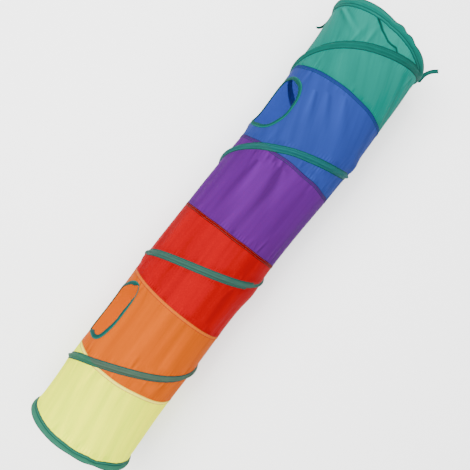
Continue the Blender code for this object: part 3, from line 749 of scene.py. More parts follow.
class Nodes:
    """Short calls for laying out the nodes of one material or group."""

    def __init__(self, tree):
        self.tree = tree

    def add(self, kind, inputs=(), **settings):
        node = self.tree.nodes.new(kind)
        for name, value in settings.items():
            setattr(node, name, value)
        for key, value in dict(inputs).items():
            self.feed(node.inputs[key], value)
        return node

    def feed(self, socket, value):
        if isinstance(value, bpy.types.NodeSocket):
            self.tree.links.new(value, socket)
        else:
            socket.default_value = value

    def math(self, operation, *values, clamp=False):
        inputs = dict(enumerate(values))
        return self.add("ShaderNodeMath", inputs, operation=operation, use_clamp=clamp).outputs[0]

    def blend(self, share, first, second):
        node = self.add("ShaderNodeMix", data_type="RGBA")
        for socket, value in ((0, share), (6, first), (7, second)):
            self.feed(node.inputs[socket], value)
        return node.outputs[2]

    def split(self, vector):
        return self.add("ShaderNodeSeparateXYZ", {0: vector}).outputs

    def join(self, x, y, z):
        return self.add("ShaderNodeCombineXYZ", {0: x, 1: y, 2: z}).outputs[0]

    def noise(self, place, scale, detail):
        inputs = {"Vector": place, "Scale": scale, "Detail": detail, "Roughness": 0.55}
        return self.add("ShaderNodeTexNoise", inputs).outputs["Fac"]

    def between(self, value, low, high):
        """0 below low, 1 above high, and smooth in between."""
        inputs = {0: value, 1: low, 2: high}
        return self.add("ShaderNodeMapRange", inputs, interpolation_type="SMOOTHSTEP").outputs[0]

    def group(self, tree, inputs):
        return self.add("ShaderNodeGroup", inputs, node_tree=tree).outputs

    def uv(self, layer):
        return self.add("ShaderNodeUVMap", uv_map=layer).outputs[0]

    def here(self):
        """The place in the object's own metres."""
        return self.add("ShaderNodeTexCoord").outputs["Object"]

    def stretched(self, x, y, by_x, by_y, z=0.0):
        """A place scaled along and across, for noise that runs in streaks."""
        return self.join(self.math("MULTIPLY", x, by_x), self.math("MULTIPLY", y, by_y), z)

    def tint(self, tone, mask, share, colour):
        """tone, with this share of another colour where the mask is 1."""
        return self.blend(self.math("MULTIPLY", mask, share), tone, colour)

    def stripe(self, tone, value, low, high, soft, share, colour):
        """tone, with this share of another colour between two values."""
        values = {"Value": value, "From": low, "To": high, "Soft": soft}
        return self.tint(tone, self.group(soft_band(), values)["Mask"], share, colour)

    def bump(self, strength, distance, height):
        inputs = {"Strength": strength, "Distance": distance, "Height": height}
        return self.add("ShaderNodeBump", inputs).outputs[0]

    def look(self, **values):
        """The material's own shader, with these values on the sockets of those names."""
        shader = self.tree.nodes["Principled BSDF"]
        for name, value in values.items():
            socket = name.replace("_", " ").title().replace("Ior", "IOR")
            self.feed(shader.inputs[socket], value)
        return shader.outputs[0]


def effect(name, inputs, outputs, build):
    """A shader node group, made on first use. inputs are (name, kind, default)."""
    if name in bpy.data.node_groups:
        return bpy.data.node_groups[name]
    tree = bpy.data.node_groups.new(name, "ShaderNodeTree")
    for socket, kind, default in inputs:
        made = tree.interface.new_socket(socket, in_out="INPUT", socket_type=f"NodeSocket{kind}")
        if default is not None:
            made.default_value = default
    for socket, kind in outputs:
        tree.interface.new_socket(socket, in_out="OUTPUT", socket_type=f"NodeSocket{kind}")
    nodes = Nodes(tree)
    given = nodes.add("NodeGroupInput").outputs
    results = nodes.add("NodeGroupOutput")
    for socket, value in build(nodes, given).items():
        nodes.feed(results.inputs[socket], value)
    return tree


def plain_weave():
    """Crossing threads, from a place in metres."""

    def build(nodes, given):
        x, y, _ = nodes.split(given["Place"])
        turn = nodes.math("DIVIDE", 2 * math.pi, given["Pitch"])
        warp = nodes.math("SINE", nodes.math("MULTIPLY", x, turn))
        weft = nodes.math("SINE", nodes.math("MULTIPLY", y, turn))
        over = nodes.math("MULTIPLY", warp, weft)
        return {"Height": nodes.math("MULTIPLY_ADD", over, 0.5, 0.5)}

    inputs = (("Place", "Vector", None), ("Pitch", "Float", 0.0006))
    return effect("plain_weave", inputs, (("Height", "Float"),), build)


def lying_folds():
    """Long streaks where slack cloth catches the light, and the small crinkles over them."""

    def build(nodes, given):
        x, y, _ = nodes.split(given["Place"])
        seed = given["Seed"]
        broad = nodes.noise(nodes.stretched(x, y, 3.2, 42, seed), 1.0, 2.0)
        broad = nodes.between(broad, 0.32, 0.68)
        fine = nodes.noise(nodes.stretched(x, y, 7.0, 150, seed), 1.0, 3.0)
        fine = nodes.between(fine, 0.3, 0.7)
        crinkle = nodes.noise(nodes.stretched(x, y, 55, 130, seed), 1.0, 3.0)
        height = nodes.math("MULTIPLY_ADD", fine, 0.45, nodes.math("MULTIPLY", crinkle, 0.55))
        return {"Broad": broad, "Fine": fine, "Height": height}

    inputs = (("Place", "Vector", None), ("Seed", "Float", 0.0))
    outputs = (("Broad", "Float"), ("Fine", "Float"), ("Height", "Float"))
    return effect("lying_folds", inputs, outputs, build)


def soft_band():
    """1 between two values, and 0 outside them."""

    def build(nodes, given):
        soft = given["Soft"]
        rise, fall = (
            nodes.between(
                given["Value"],
                nodes.math("SUBTRACT", given[edge], soft),
                nodes.math("ADD", given[edge], soft),
            )
            for edge in ("From", "To")
        )
        return {"Mask": nodes.math("SUBTRACT", rise, fall, clamp=True)}

    inputs = (
        ("Value", "Float", 0.0),
        ("From", "Float", 0.0),
        ("To", "Float", 1.0),
        ("Soft", "Float", 0.0005),
    )
    return effect("soft_band", inputs, (("Mask", "Float"),), build)


def tape_web():
    """The ribbed weave of a narrow tape, its folded edges and its uneven dye."""

    def build(nodes, given):
        x, y, _ = nodes.split(given["Place"])
        ribs = nodes.math("SINE", nodes.math("MULTIPLY", x, 2 * math.pi / 0.0011))
        threads = nodes.math("SINE", nodes.math("MULTIPLY", y, 2 * math.pi / 0.0007))
        web = nodes.math("MULTIPLY_ADD", nodes.math("MULTIPLY", ribs, threads), 0.35, 0.5)
        dye = nodes.between(nodes.noise(nodes.stretched(x, y, 40, 260), 1.0, 3.0), 0.3, 0.7)
        inset = nodes.math("SUBTRACT", given["Half width"], nodes.math("ABSOLUTE", y))
        hem = nodes.math("SUBTRACT", 1.0, nodes.between(inset, 0.0022, 0.0032))
        fold = nodes.math("SUBTRACT", 1.0, nodes.between(inset, 0.0001, 0.0007))
        return {"Web": web, "Dye": dye, "Hem": hem, "Fold": fold}

    inputs = (("Place", "Vector", None), ("Half width", "Float", 0.0095))
    outputs = (("Web", "Float"), ("Dye", "Float"), ("Hem", "Float"), ("Fold", "Float"))
    return effect("tape_web", inputs, outputs, build)


def new_material(name, **values):
    """A material and its nodes, with these values on its own shader."""
    material = bpy.data.materials.new(name)
    material.use_nodes = True
    nodes = Nodes(material.node_tree)
    nodes.look(**values)
    return material, nodes


def shade(colour, factor):
    """A colour made lighter or darker, as a socket's four values."""
    return (*(min(1.0, value * factor) for value in colour), 1.0)


def cloth_material(tunnel, colours, colour):
    """Thin coated nylon: woven, with painted light and shade along its folds, and lit through from
    behind.
    """
    index = COLOURS.index(colour)
    base = tuple(getattr(colours, colour))
    material, nodes = new_material(f"{colour}_nylon", specular_ior_level=0.01)
    folds = nodes.group(lying_folds(), {"Place": nodes.uv("lie"), "Seed": 3.7 * index})
    weave = nodes.group(plain_weave(), {"Place": nodes.uv("cloth"), "Pitch": 0.0007})
    along, around, _ = nodes.split(nodes.uv("cloth"))
    relief, pleat_shadow, _ = nodes.split(nodes.uv("relief"))
    # Painted light and shade of the folds, puckers and creases: lit and shaded copies of the base colour
    lit = nodes.math("MULTIPLY_ADD", relief, 0.5, 0.5, clamp=True)
    # Painted highlight streaks along the folds, broad and fine
    streaks = nodes.math("SUBTRACT", folds["Broad"], 0.5)
    lit = nodes.math("MULTIPLY_ADD", streaks, 0.3, lit, clamp=True)
    tone = nodes.blend(lit, shade(base, 0.66), shade(base, 1.34))
    tone = nodes.tint(tone, folds["Fine"], 0.22, shade(base, 1.12))
    tone = nodes.tint(tone, weave["Height"], 0.12, shade(base, 0.8))
    # Painted shadow in the pleat by the green end
    tone = nodes.tint(tone, pleat_shadow, 0.95, shade(base, 0.16))
    length = tunnel.lengths[index]
    band, line = ((*band_tone, 1.0) for band_tone in BAND_TONES[colour])
    if index < len(COLOURS) - 1:
        # Painted shade over the felled edge, where two layers let less light through, then the lines of
        # its stitching
        tone = nodes.stripe(tone, along, length - SEAM_BAND, length + 0.1, 0.0004, 0.85, band)
        for inset in (0.0007, 0.0078):
            place = length - inset
            tone = nodes.stripe(tone, along, place - 0.0006, place + 0.0006, 0.0003, 0.9, line)
    # Painted shade over the lap of the panel's own long seam
    tone = nodes.stripe(tone, around, 0.0, LAP, 0.0004, 0.6, band)
    inside_out = nodes.add("ShaderNodeNewGeometry").outputs["Backfacing"]
    # Painted light: the inside of the cloth is made lighter, for the light that gets into the tunnel
    tone = nodes.blend(inside_out, tone, shade(base, INSIDE_PAINTED_LIGHT[colour]))
    small = nodes.math("MULTIPLY_ADD", weave["Height"], 0.12, folds["Height"])
    coated = nodes.look(
        base_color=tone,
        roughness=nodes.math("MULTIPLY_ADD", folds["Fine"], 0.14, 0.4),
        normal=nodes.bump(0.55, 0.0009, small),
    )
    glow = nodes.add("ShaderNodeBsdfTranslucent", {"Color": tone}).outputs[0]
    mixed = nodes.add("ShaderNodeMixShader", {0: colours.see_through, 1: coated, 2: glow})
    nodes.feed(nodes.tree.nodes["Material Output"].inputs["Surface"], mixed.outputs[0])
    return material


def tape_material(name, half_width, body, hem, behind=None, share=0.0, lines=()):
    """Sheer woven tape over cloth of another colour, denser in its folded edges."""
    material, nodes = new_material(name, specular_ior_level=0.02)
    web = nodes.group(tape_web(), {"Place": nodes.uv("cloth"), "Half width": half_width})
    behind = behind or body
    seen = [own * (1 - share) + other * share for own, other in zip(body, behind)]
    tone = nodes.tint(shade(seen, 1.0), web["Dye"], 0.5, shade(seen, 1.4))
    tone = nodes.tint(tone, web["Web"], 0.25, shade(seen, 0.7))
    tone = nodes.tint(tone, web["Hem"], 0.8, shade(hem, 1.0))
    tone = nodes.tint(tone, web["Fold"], 0.5, shade(hem, 0.6))
    across = nodes.split(nodes.uv("cloth"))[1]
    for place in lines:
        low, high = place - 0.0010, place + 0.0010
        tone = nodes.stripe(tone, across, low, high, 0.0005, 0.85, shade(hem, 0.7))
    height = nodes.math("MULTIPLY_ADD", web["Hem"], 0.4, nodes.math("MULTIPLY", web["Web"], 0.3))
    nodes.look(
        base_color=tone,
        roughness=nodes.math("MULTIPLY_ADD", web["Dye"], -0.12, 0.66),
        normal=nodes.bump(0.5, 0.0006, height),
    )
    return material


def thread_material(name, colour):
    """Twisted sewing thread."""
    material, nodes = new_material(name, roughness=0.6, specular_ior_level=0.02)
    dye = nodes.between(nodes.noise(nodes.here(), 900.0, 2.0), 0.35, 0.65)
    tone = nodes.blend(dye, shade(colour, 0.75), shade(colour, 1.5))
    nodes.look(base_color=tone, normal=nodes.bump(0.3, 0.0002, dye))
    return material


def steel_material(name, colour, roughness):
    """Drawn or pressed steel, with fine scratches and a few dull spots."""
    material, nodes = new_material(name, metallic=1.0)
    place = nodes.here()
    marks = nodes.noise(place, 700.0, 4.0)
    spots = nodes.between(nodes.noise(place, 140.0, 2.0), 0.55, 0.75)
    rough = nodes.math("MULTIPLY_ADD", marks, 0.2, roughness)
    nodes.look(
        base_color=nodes.blend(spots, shade(colour, 1.0), shade(colour, 0.7)),
        roughness=nodes.math("MULTIPLY_ADD", spots, 0.2, rough),
        normal=nodes.bump(0.2, 0.0001, marks),
    )
    return material


def floor_material(colour):
    """Matt pale board, very slightly uneven."""
    material, nodes = new_material("pale_floor", specular_ior_level=0.2)
    cloud = nodes.noise(nodes.here(), 2.5, 3.0)
    nodes.look(
        base_color=nodes.blend(cloud, shade(colour, 0.99), shade(colour, 1.01)),
        roughness=nodes.math("MULTIPLY_ADD", cloud, 0.1, 0.85),
    )
    return material


def finish_with(made, material):
    made.data.materials.clear()
    made.data.materials.append(material)
    return made


def sewn_to(made, tunnel, colour, slot, *nodes):
    """Carries a piece with its panel, and hides its solids."""
    if colour == "yellow":
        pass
    elif colour == "green":
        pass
    else:
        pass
    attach(made, BODIES[colour])
    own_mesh(made)
    if nodes:
        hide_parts(*nodes)
    return made


# Pieces


class CAT_TUNNEL_OT_panels(bpy.types.Operator):
    """Lay the six panels of thin cloth in their folds."""

    bl_idname = "cat_tunnel.panels"
    bl_label = "Coloured Panels"

    def execute(self, context):
        tunnel = tunnel_of(context)
        for colour in COLOURS:
            self.panel(tunnel, context.scene.cat_tunnel_colours, colour)
        return {"FINISHED"}

    def rows(self, tunnel, index):
        """The stations of a panel's rows, close together at its seams."""
        last = index == len(COLOURS) - 1
        start, end = tunnel.seams[index], tunnel.seams[index + 1]
        if index == 0:
            start += END_INSET
        low = start + np.array(START_ROWS)
        if last:
            high = end - np.array([START_ROWS[-1], END_INSET])
        else:
            tuck = (*TUCK_ROWS, SEAM_TUCK) if index else TUCK_ROWS
            high = end + np.concatenate([-np.array(BAND_ROWS), tuck])
        count = int((high[0] - low[-1]) / (PLEAT_ROW_PITCH if last else ROW_PITCH))
        middle = np.linspace(low[-1], high[0], count + 2)[1:-1]
        return np.concatenate([low, middle, high])

    def panel(self, tunnel, colours, colour):
        index = COLOURS.index(colour)
        stations, turns = self.rows(tunnel, index), once_round(PANEL_COLUMNS)
        station, turn = np.meshgrid(stations, turns, indexing="ij")
        radius = tunnel.sizes.skin_radius
        layers = {
            "cloth": np.stack([station - tunnel.seams[index], (turn - UNDERSIDE) * radius], -1),
            "lie": np.stack([station, tunnel.folded_turn(colour, station, turn) * radius], -1),
        }
        broad, puckers, fine = tunnel.folds(colour, station, turn)
        # Painted light and shade of the folds, puckers and creases, passed to the material in a UV layer
        tone = 0.95 * BROAD_FOLDS[colour] * broad + 0.9 * puckers + 0.9 * fine
        pleat_shadow = np.zeros_like(tone)
        if colour == "green":
            # The pleat's shadow widens towards the rim, and the cloth beyond it faces the light
            width = 0.0020 + 0.05 * np.clip(station - 1.118, 0, 0.03)
            pleat_shadow = np.exp(-((tunnel.from_pleat(station, turn) / width) ** 4))
            beyond = smoothstep((station - 1.112) / 0.008) * smoothstep((turn - 1.45) / 0.12)
            tone = tone * (1 - 0.6 * beyond) + 0.6 * beyond
        layers["relief"] = np.stack([tone, pleat_shadow], axis=-1)
        station, turn = station[:, :-1], turn[:, :-1]
        height = tunnel.cloth_height(colour, station, turn)
        keep = None
        if colour in SIDE_HOLES:
            cut = HOLE_BINDING_WIDTH * tunnel.hole_widths(colour, OUTLINE_CORNERS) * 0.5
            outline = np.stack(tunnel.hole_edge(colour, OUTLINE_CORNERS, cut), axis=-1)
            next_column = np.roll(turn, -1, axis=1)
            next_column[:, -1] += 2 * math.pi
            middle_turn = (turn[:-1] + next_column[:-1]) / 2
            keep = ~inside((station[:-1] + station[1:]) / 2, middle_turn, outline)
        points = tunnel.rolled(station, turn, height)
        made = grid_object(f"{colour}_panel_cloth", points, layers, wrap_columns=True, keep=keep)
        finish_with(made, cloth_material(tunnel, colours, colour))
        sewn_to(made, tunnel, colour, colour, f"panel_{colour}")
        return made


class CAT_TUNNEL_OT_casing_tapes(bpy.types.Operator):
    """Lay the casing tape over the wire, in one length for each panel."""

    bl_idname = "cat_tunnel.casing_tapes"
    bl_label = "Casing Tapes"

    def execute(self, context):
        tunnel = tunnel_of(context)
        for colour in COLOURS:
            self.tape(tunnel, context.scene.cat_tunnel_colours, colour)
        return {"FINISHED"}

    def profile(self, tunnel):
        """(distance across, height) from one edge of the tape to the other, over the wire."""
        half = tunnel.sizes.tape_width / 2
        wing = half - 0.0035
        hem = [half, half - 0.0002, half - 0.0012, half - 0.0027]
        across = np.concatenate([hem, np.linspace(wing, 0, 8)])
        rise = (1 + np.cos(math.pi * np.clip(across / wing, 0, 1))) / 2
        height = tunnel.tape_height + (CREST_HEIGHT - CLOTH_GAP) * rise**0.9
        height[0] = CLOTH_GAP * 0.3
        across = np.concatenate([-across, across[-2::-1]])
        return across, np.concatenate([height, height[-2::-1]])

    def tape(self, tunnel, colours, colour):
        index = COLOURS.index(colour)
        sizes = tunnel.sizes
        low = max(tunnel.seams[index], BINDING_CREST)
        high = min(tunnel.seams[index + 1], tunnel.length - BINDING_CREST)
        across, height = self.profile(tunnel)
        turns = np.arange(RAMP_START - TAPE_RUN_ON, RAMP_END + TAPE_RUN_ON, TAPE_STEP)
        centre = tunnel.ramp_station(turns)
        near = (centre > low - sizes.tape_width) & (centre < high + sizes.tape_width)
        turns, centre = turns[near], centre[near]
        pucker = ripples(SEEDS["tape"], (40, 64), 6, turns[:, None], across[None] * 0.5, 0.0)
        lift = sizes.gather_depth * 0.22 * pucker * np.clip(np.abs(across) / 0.004, 0.2, 1)
        station = centre[:, None] + across[None] + 0.00025 * pucker * np.sign(across)
        turn = np.broadcast_to(turns[:, None], station.shape)
        flat = np.stack([station, turn, height[None] + lift], axis=-1)
        run = turn * sizes.skin_radius
        layer = np.stack([run, np.broadcast_to(across[None], run.shape)], axis=-1)
        made = grid_object(f"{colour}_casing_tape", flat, {"cloth": layer})
        self.trim(made, low, high)
        flat = np.empty(len(made.data.vertices) * 3, np.float32)
        made.data.vertices.foreach_get("co", flat)
        station, turn, height = flat.reshape(-1, 3).astype(float).T
        points = tunnel.rolled(station, turn, height)
        made.data.vertices.foreach_set("co", points.astype(np.float32).ravel())
        made.data.update()
        body, hem = (shade(tone, CASING_SHADE)[:3] for tone in (colours.tape, colours.hem))
        behind, share = tuple(getattr(colours, colour)), THROUGH_TAPE[colour]
        half = sizes.tape_width / 2
        finish_with(made, tape_material(f"tape_over_{colour}", half, body, hem, behind, share))
        return sewn_to(made, tunnel, colour, "tape", f"casing_tape_{colour}")

    def trim(self, made, low, high):
        """Cuts the flat tape off square at the panel's seams."""
        mesh = bmesh.new()
        mesh.from_mesh(made.data)
        for station, way in ((low, -1), (high, 1)):
            bmesh.ops.bisect_plane(
                mesh,
                geom=mesh.verts[:] + mesh.edges[:] + mesh.faces[:],
                dist=1e-7,
                plane_co=(station, 0, 0),
                plane_no=(way, 0, 0),
                clear_outer=True,
            )
        if not mesh.faces:
            raise RuntimeError(f"{made.name} has no tape left between its seams")
        mesh.to_mesh(made.data)
        mesh.free()


class CAT_TUNNEL_OT_end_bindings(bpy.types.Operator):
    """Fold the wide bindings over both ends of the tunnel."""

    bl_idname = "cat_tunnel.end_bindings"
    bl_label = "End Bindings"

    def execute(self, context):
        tunnel = tunnel_of(context)
        for colour in ENDS:
            self.binding(tunnel, context.scene.cat_tunnel_colours, colour)
        return {"FINISHED"}

    def profile(self, sizes):
        """(distance from the tunnel's end, height) from inside the tunnel to outside it."""
        crest = CREST_HEIGHT + sizes.tape_thickness
        width = sizes.binding_width
        line = np.array(
            (
                *((0.014, -0.0011), (0.0138, -0.0018), (0.010, -0.0019), (0.005, -0.0018)),
                *((0.0018, -0.0014), (0.0006, -0.0002), (0.0002, 0.0015), (0.0004, 0.0035)),
                *((0.0012, 0.0052), (0.0026, crest - 0.0002), (0.0045, crest), (0.0072, crest)),
                *((0.0092, crest - 0.0006), (0.0107, crest - 0.0026), (0.0121, 0.0019)),
                *((0.0135, 0.0012), (0.0155, 0.0011), (width - 0.0022, 0.0011)),
                *((width - 0.0004, 0.0010), (width, 0.0002)),
            )
        )
        return line, run_along(line)

    def binding(self, tunnel, colours, colour):
        sizes = tunnel.sizes
        line, run = self.profile(sizes)
        turns = once_round(BINDING_COLUMNS)
        turn = turns[None, :-1]
        inset, height = line[:, :1], line[:, 1:]
        seed = SEEDS[f"{colour} binding"]
        pucker = ripples(seed, (44, 72), 7, turn, inset * 0.0, 0.0)
        slow = ripples(seed + 1, (5, 13), 5, turn, inset * 0.0, 0.0)
        top = run[TOP_CORNER]
        outside = np.clip((run[:, None] - top) / (run[-1] - top), 0, 1)
        free = np.clip(outside * 1.4, 0, 1)
        scallops, narrow = tunnel.binding_dents(colour, turn)
        height = height + free * sizes.gather_depth * (0.35 * np.abs(pucker) + 0.3 * slow)
        inset = inset + free * 0.0005 * slow + free**3 * 0.0004 * pucker
        inset = inset + 0.0004 * slow * (1 - free) + scallops * (1 - free) - narrow * free
        station = inset if colour == "yellow" else tunnel.length - inset
        station = np.broadcast_to(station, np.broadcast_shapes(station.shape, turn.shape))
        turn = np.broadcast_to(turn, station.shape)
        points = tunnel.rolled(station, turn, height)
        arc = (turns - UNDERSIDE) * sizes.skin_radius
        middle = (run[RIM_CORNER] + run[-1]) / 2
        layer = cloth_places(run - middle, arc)[..., ::-1]
        if colour == "green":
            points, layer = points[::-1], layer[::-1]
        made = grid_object(f"{colour}_end_binding", points, {"cloth": layer}, wrap_columns=True)
        body, hem, behind = (tuple(getattr(colours, tone)) for tone in ("tape", "hem", colour))
        half, lines = run[-1] - middle, [run[corner] - middle for corner in LINE_CORNERS]
        look = (f"{colour}_end_tape", half, body, hem, behind, THROUGH_TAPE[colour], lines)
        finish_with(made, tape_material(*look))
        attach(made, BODIES[colour])
        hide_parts(f"end_binding_{colour}")
        return made


class CAT_TUNNEL_OT_hole_bindings(bpy.types.Operator):
    """Fold the narrow bindings over the cut edges of the side holes."""

    bl_idname = "cat_tunnel.hole_bindings"
    bl_label = "Side Hole Bindings"

    def execute(self, context):
        tunnel = tunnel_of(context)
        for colour in SIDE_HOLES:
            self.binding(tunnel, context.scene.cat_tunnel_colours, colour)
        return {"FINISHED"}

    def binding(self, tunnel, colours, colour):
        width = HOLE_BINDING_WIDTH
        profile = np.array(
            (
                *((0.0, 0.0002), (0.0002, 0.0008), (0.0014, 0.0012), (0.0034, 0.00125)),
                *((width - 0.0016, 0.0013), (width - 0.0004, 0.0009), (width, 0.0)),
                *((width - 0.0004, -0.0009), (width - 0.0016, -0.0013)),
                *((0.0034, -0.00125), (0.0014, -0.0012), (0.0002, -0.0008)),
            )
        )
        angle = np.linspace(0, 2 * math.pi, HOLE_COLUMNS, endpoint=False)
        pucker = ripples(SEEDS["hole"], (34, 60), 6, angle, angle * 0.0, 0.0)
        slow = ripples(SEEDS["hole"] + 1, (4, 12), 5, angle, angle * 0.0, 0.0)
        narrowed = tunnel.hole_widths(colour, HOLE_COLUMNS)
        insets = profile[:, :1] * narrowed * (1 + 0.08 * slow) + 0.0006 * slow + 0.00015 * pucker
        edges = [tunnel.hole_edge(colour, HOLE_COLUMNS, inset) for inset in insets]
        station, turn = (np.array(rows) for rows in zip(*edges))
        height = profile[:, 1:] * (1 + 0.16 * pucker)
        height = height + tunnel.cloth_height(colour, station, turn)
        points = tunnel.rolled(station, turn, height)[::-1]
        run = run_along(profile)
        run = np.append(run, run[-1] + 0.0004)[::-1]
        girth = np.linspace(0, HOLE_GIRTH, HOLE_COLUMNS + 1)
        layers = {"cloth": cloth_places(run - 0.0036, girth)[..., ::-1]}
        name = f"{colour}_hole_binding"
        made = grid_object(name, points, layers, wrap_columns=True, wrap_rows=True)
        body, hem = tuple(colours.tape), tuple(colours.hem)
        finish_with(made, tape_material(f"{colour}_hole_tape", 0.0040, body, hem))
        return sewn_to(made, tunnel, colour, "tape", f"hole_binding_{colour}")


class CAT_TUNNEL_OT_spring_wire(bpy.types.Operator):
    """Draw the spring wire as one round bar, and finish its ferrules."""

    bl_idname = "cat_tunnel.spring_wire"
    bl_label = "Spring Wire"

    def execute(self, context):
        tunnel = tunnel_of(context)
        sizes = tunnel.sizes
        loop = 2 * math.pi + LAP_TURN
        turn = np.linspace(RAMP_START - loop, RAMP_END + loop, WIRE_RINGS)
        past = np.maximum(RAMP_START - turn, turn - RAMP_END)
        creep = smoothstep((past - LAP_TURN) / (2 * math.pi - LAP_TURN))
        inset = LOOP_INSET + LAP_SPACING * (1 - creep)
        station = tunnel.ramp_station(turn)
        station = np.where(turn < RAMP_START, inset, station)
        station = np.where(turn > RAMP_END, tunnel.length - inset, station)
        lift = smoothstep(1 + past / (2 * LAP_TURN))
        height = WIRE_HEIGHT + (LOOP_HEIGHT - WIRE_HEIGHT) * lift
        radius = sizes.skin_radius + height
        points = tunnel.placed(station, radius * np.cos(turn), radius * np.sin(turn))
        made = round_bar("spring_wire_round", points, sizes.wire_radius, WIRE_SIDES)
        finish_with(made, steel_material("drawn_spring_steel", (0.56, 0.57, 0.58), 0.25))
        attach(made, "yellow_end")
        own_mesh(made)
        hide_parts("spring_wire")
        crimp = steel_material("crimped_steel", (0.68, 0.68, 0.66), 0.3)
        for end in ENDS:
            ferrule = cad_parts[f"wire_ferrule_{end}"]
            finish_with(ferrule, crimp)
        return {"FINISHED"}


class CAT_TUNNEL_OT_stitching(bpy.types.Operator):
    """Sew along the tapes, the seams, the bindings and the holes."""

    bl_idname = "cat_tunnel.stitching"
    bl_label = "Stitching"

    def execute(self, context):
        tunnel = tunnel_of(context)
        rows = {colour: [] for colour in COLOURS}
        self.along_tapes(tunnel, rows)
        self.round_seams(tunnel, rows)
        self.round_holes(tunnel, rows)
        thread = thread_material("green_thread", tuple(context.scene.cat_tunnel_colours.thread))
        for colour in COLOURS:
            made = self.sew(f"{colour}_stitching", rows[colour], tunnel)
            finish_with(made, thread)
            sewn_to(made, tunnel, colour, None)
        for colour in ENDS:
            made = self.sew(f"{colour}_end_stitching", self.round_end(tunnel, colour), tunnel)
            finish_with(made, thread)
            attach(made, BODIES[colour])
        return {"FINISHED"}

    def sew(self, name, rows, tunnel):
        """One mesh of all these rows. Each is (middles, directions, turns)."""
        middles, ahead, turns = (np.concatenate(column) for column in zip(*rows))
        outwards = np.stack([0 * turns, np.cos(turns), np.sin(turns)], axis=-1)
        outwards = square_to(outwards, ahead)
        points, corners = stitches(middles, ahead, outwards, tunnel.sizes)
        return mesh_object(name, points, corners)

    def along_tapes(self, tunnel, rows):
        sizes = tunnel.sizes
        turns = np.arange(RAMP_START, RAMP_END, math.radians(1))
        height = np.full(len(turns), tunnel.tape_height)
        for side in (-1, 1):
            off = side * (sizes.tape_width / 2 - EDGE_STITCHES)
            station = tunnel.ramp_station(turns) + off
            middles, ahead, share = stitched(tunnel.rolled(station, turns, height), sizes)
            at = np.interp(share, np.linspace(0, 1, len(turns)), turns)
            place = tunnel.ramp_station(at) + off
            for index, colour in enumerate(COLOURS):
                low = max(tunnel.seams[index], sizes.binding_width)
                high = min(tunnel.seams[index + 1], tunnel.length - sizes.binding_width)
                here = (place > low + 0.001) & (place < high - 0.001)
                rows[colour].append((middles[here], ahead[here], at[here]))

    def round_seams(self, tunnel, rows):
        turns = once_round(STITCH_COLUMNS)[:-1]
        for index, colour in enumerate(COLOURS[:-1]):
            for inset in SEAM_STITCHES:
                station = np.full(len(turns), tunnel.seams[index + 1] - inset)
                height = tunnel.cloth_height(colour, station, turns)
                path = tunnel.rolled(station, turns, height)
                middles, ahead, share = stitched(path, tunnel.sizes, closed=True)
                at = UNDERSIDE + 2 * math.pi * share
                place = np.full(len(at), station[0])
                clear = tunnel.from_tape(place, at) > 0.0005
                rows[colour].append((middles[clear], ahead[clear], at[clear]))

    def round_holes(self, tunnel, rows):
        for colour in SIDE_HOLES:
            station, turns = tunnel.hole_edge(colour, HOLE_STITCH_COLUMNS, HOLE_STITCHES)
            height = tunnel.cloth_height(colour, station, turns) + HOLE_STITCH_HEIGHT
            path = tunnel.rolled(station, turns, height)
            middles, ahead, share = stitched(path, tunnel.sizes, closed=True)
            turns = np.append(turns, turns[0])
            at = np.interp(share, np.linspace(0, 1, len(turns)), turns)
            rows[colour].append((middles, ahead, at))

    def round_end(self, tunnel, colour):
        found = []
        turns = once_round(STITCH_COLUMNS)[:-1]
        narrow = tunnel.binding_dents(colour, turns)[1]
        edge = tunnel.sizes.binding_width - EDGE_STITCHES
        for share, inset in ((0.5, CREST_STITCHES), (1.0, edge)):
            inset = inset - share * narrow
            place = inset if colour == "yellow" else tunnel.length - inset
            path = tunnel.rolled(place, turns, np.full(STITCH_COLUMNS, END_STITCH_HEIGHT))
            middles, ahead, share = stitched(path, tunnel.sizes, closed=True)
            found.append((middles, ahead, UNDERSIDE + 2 * math.pi * share))
        return found


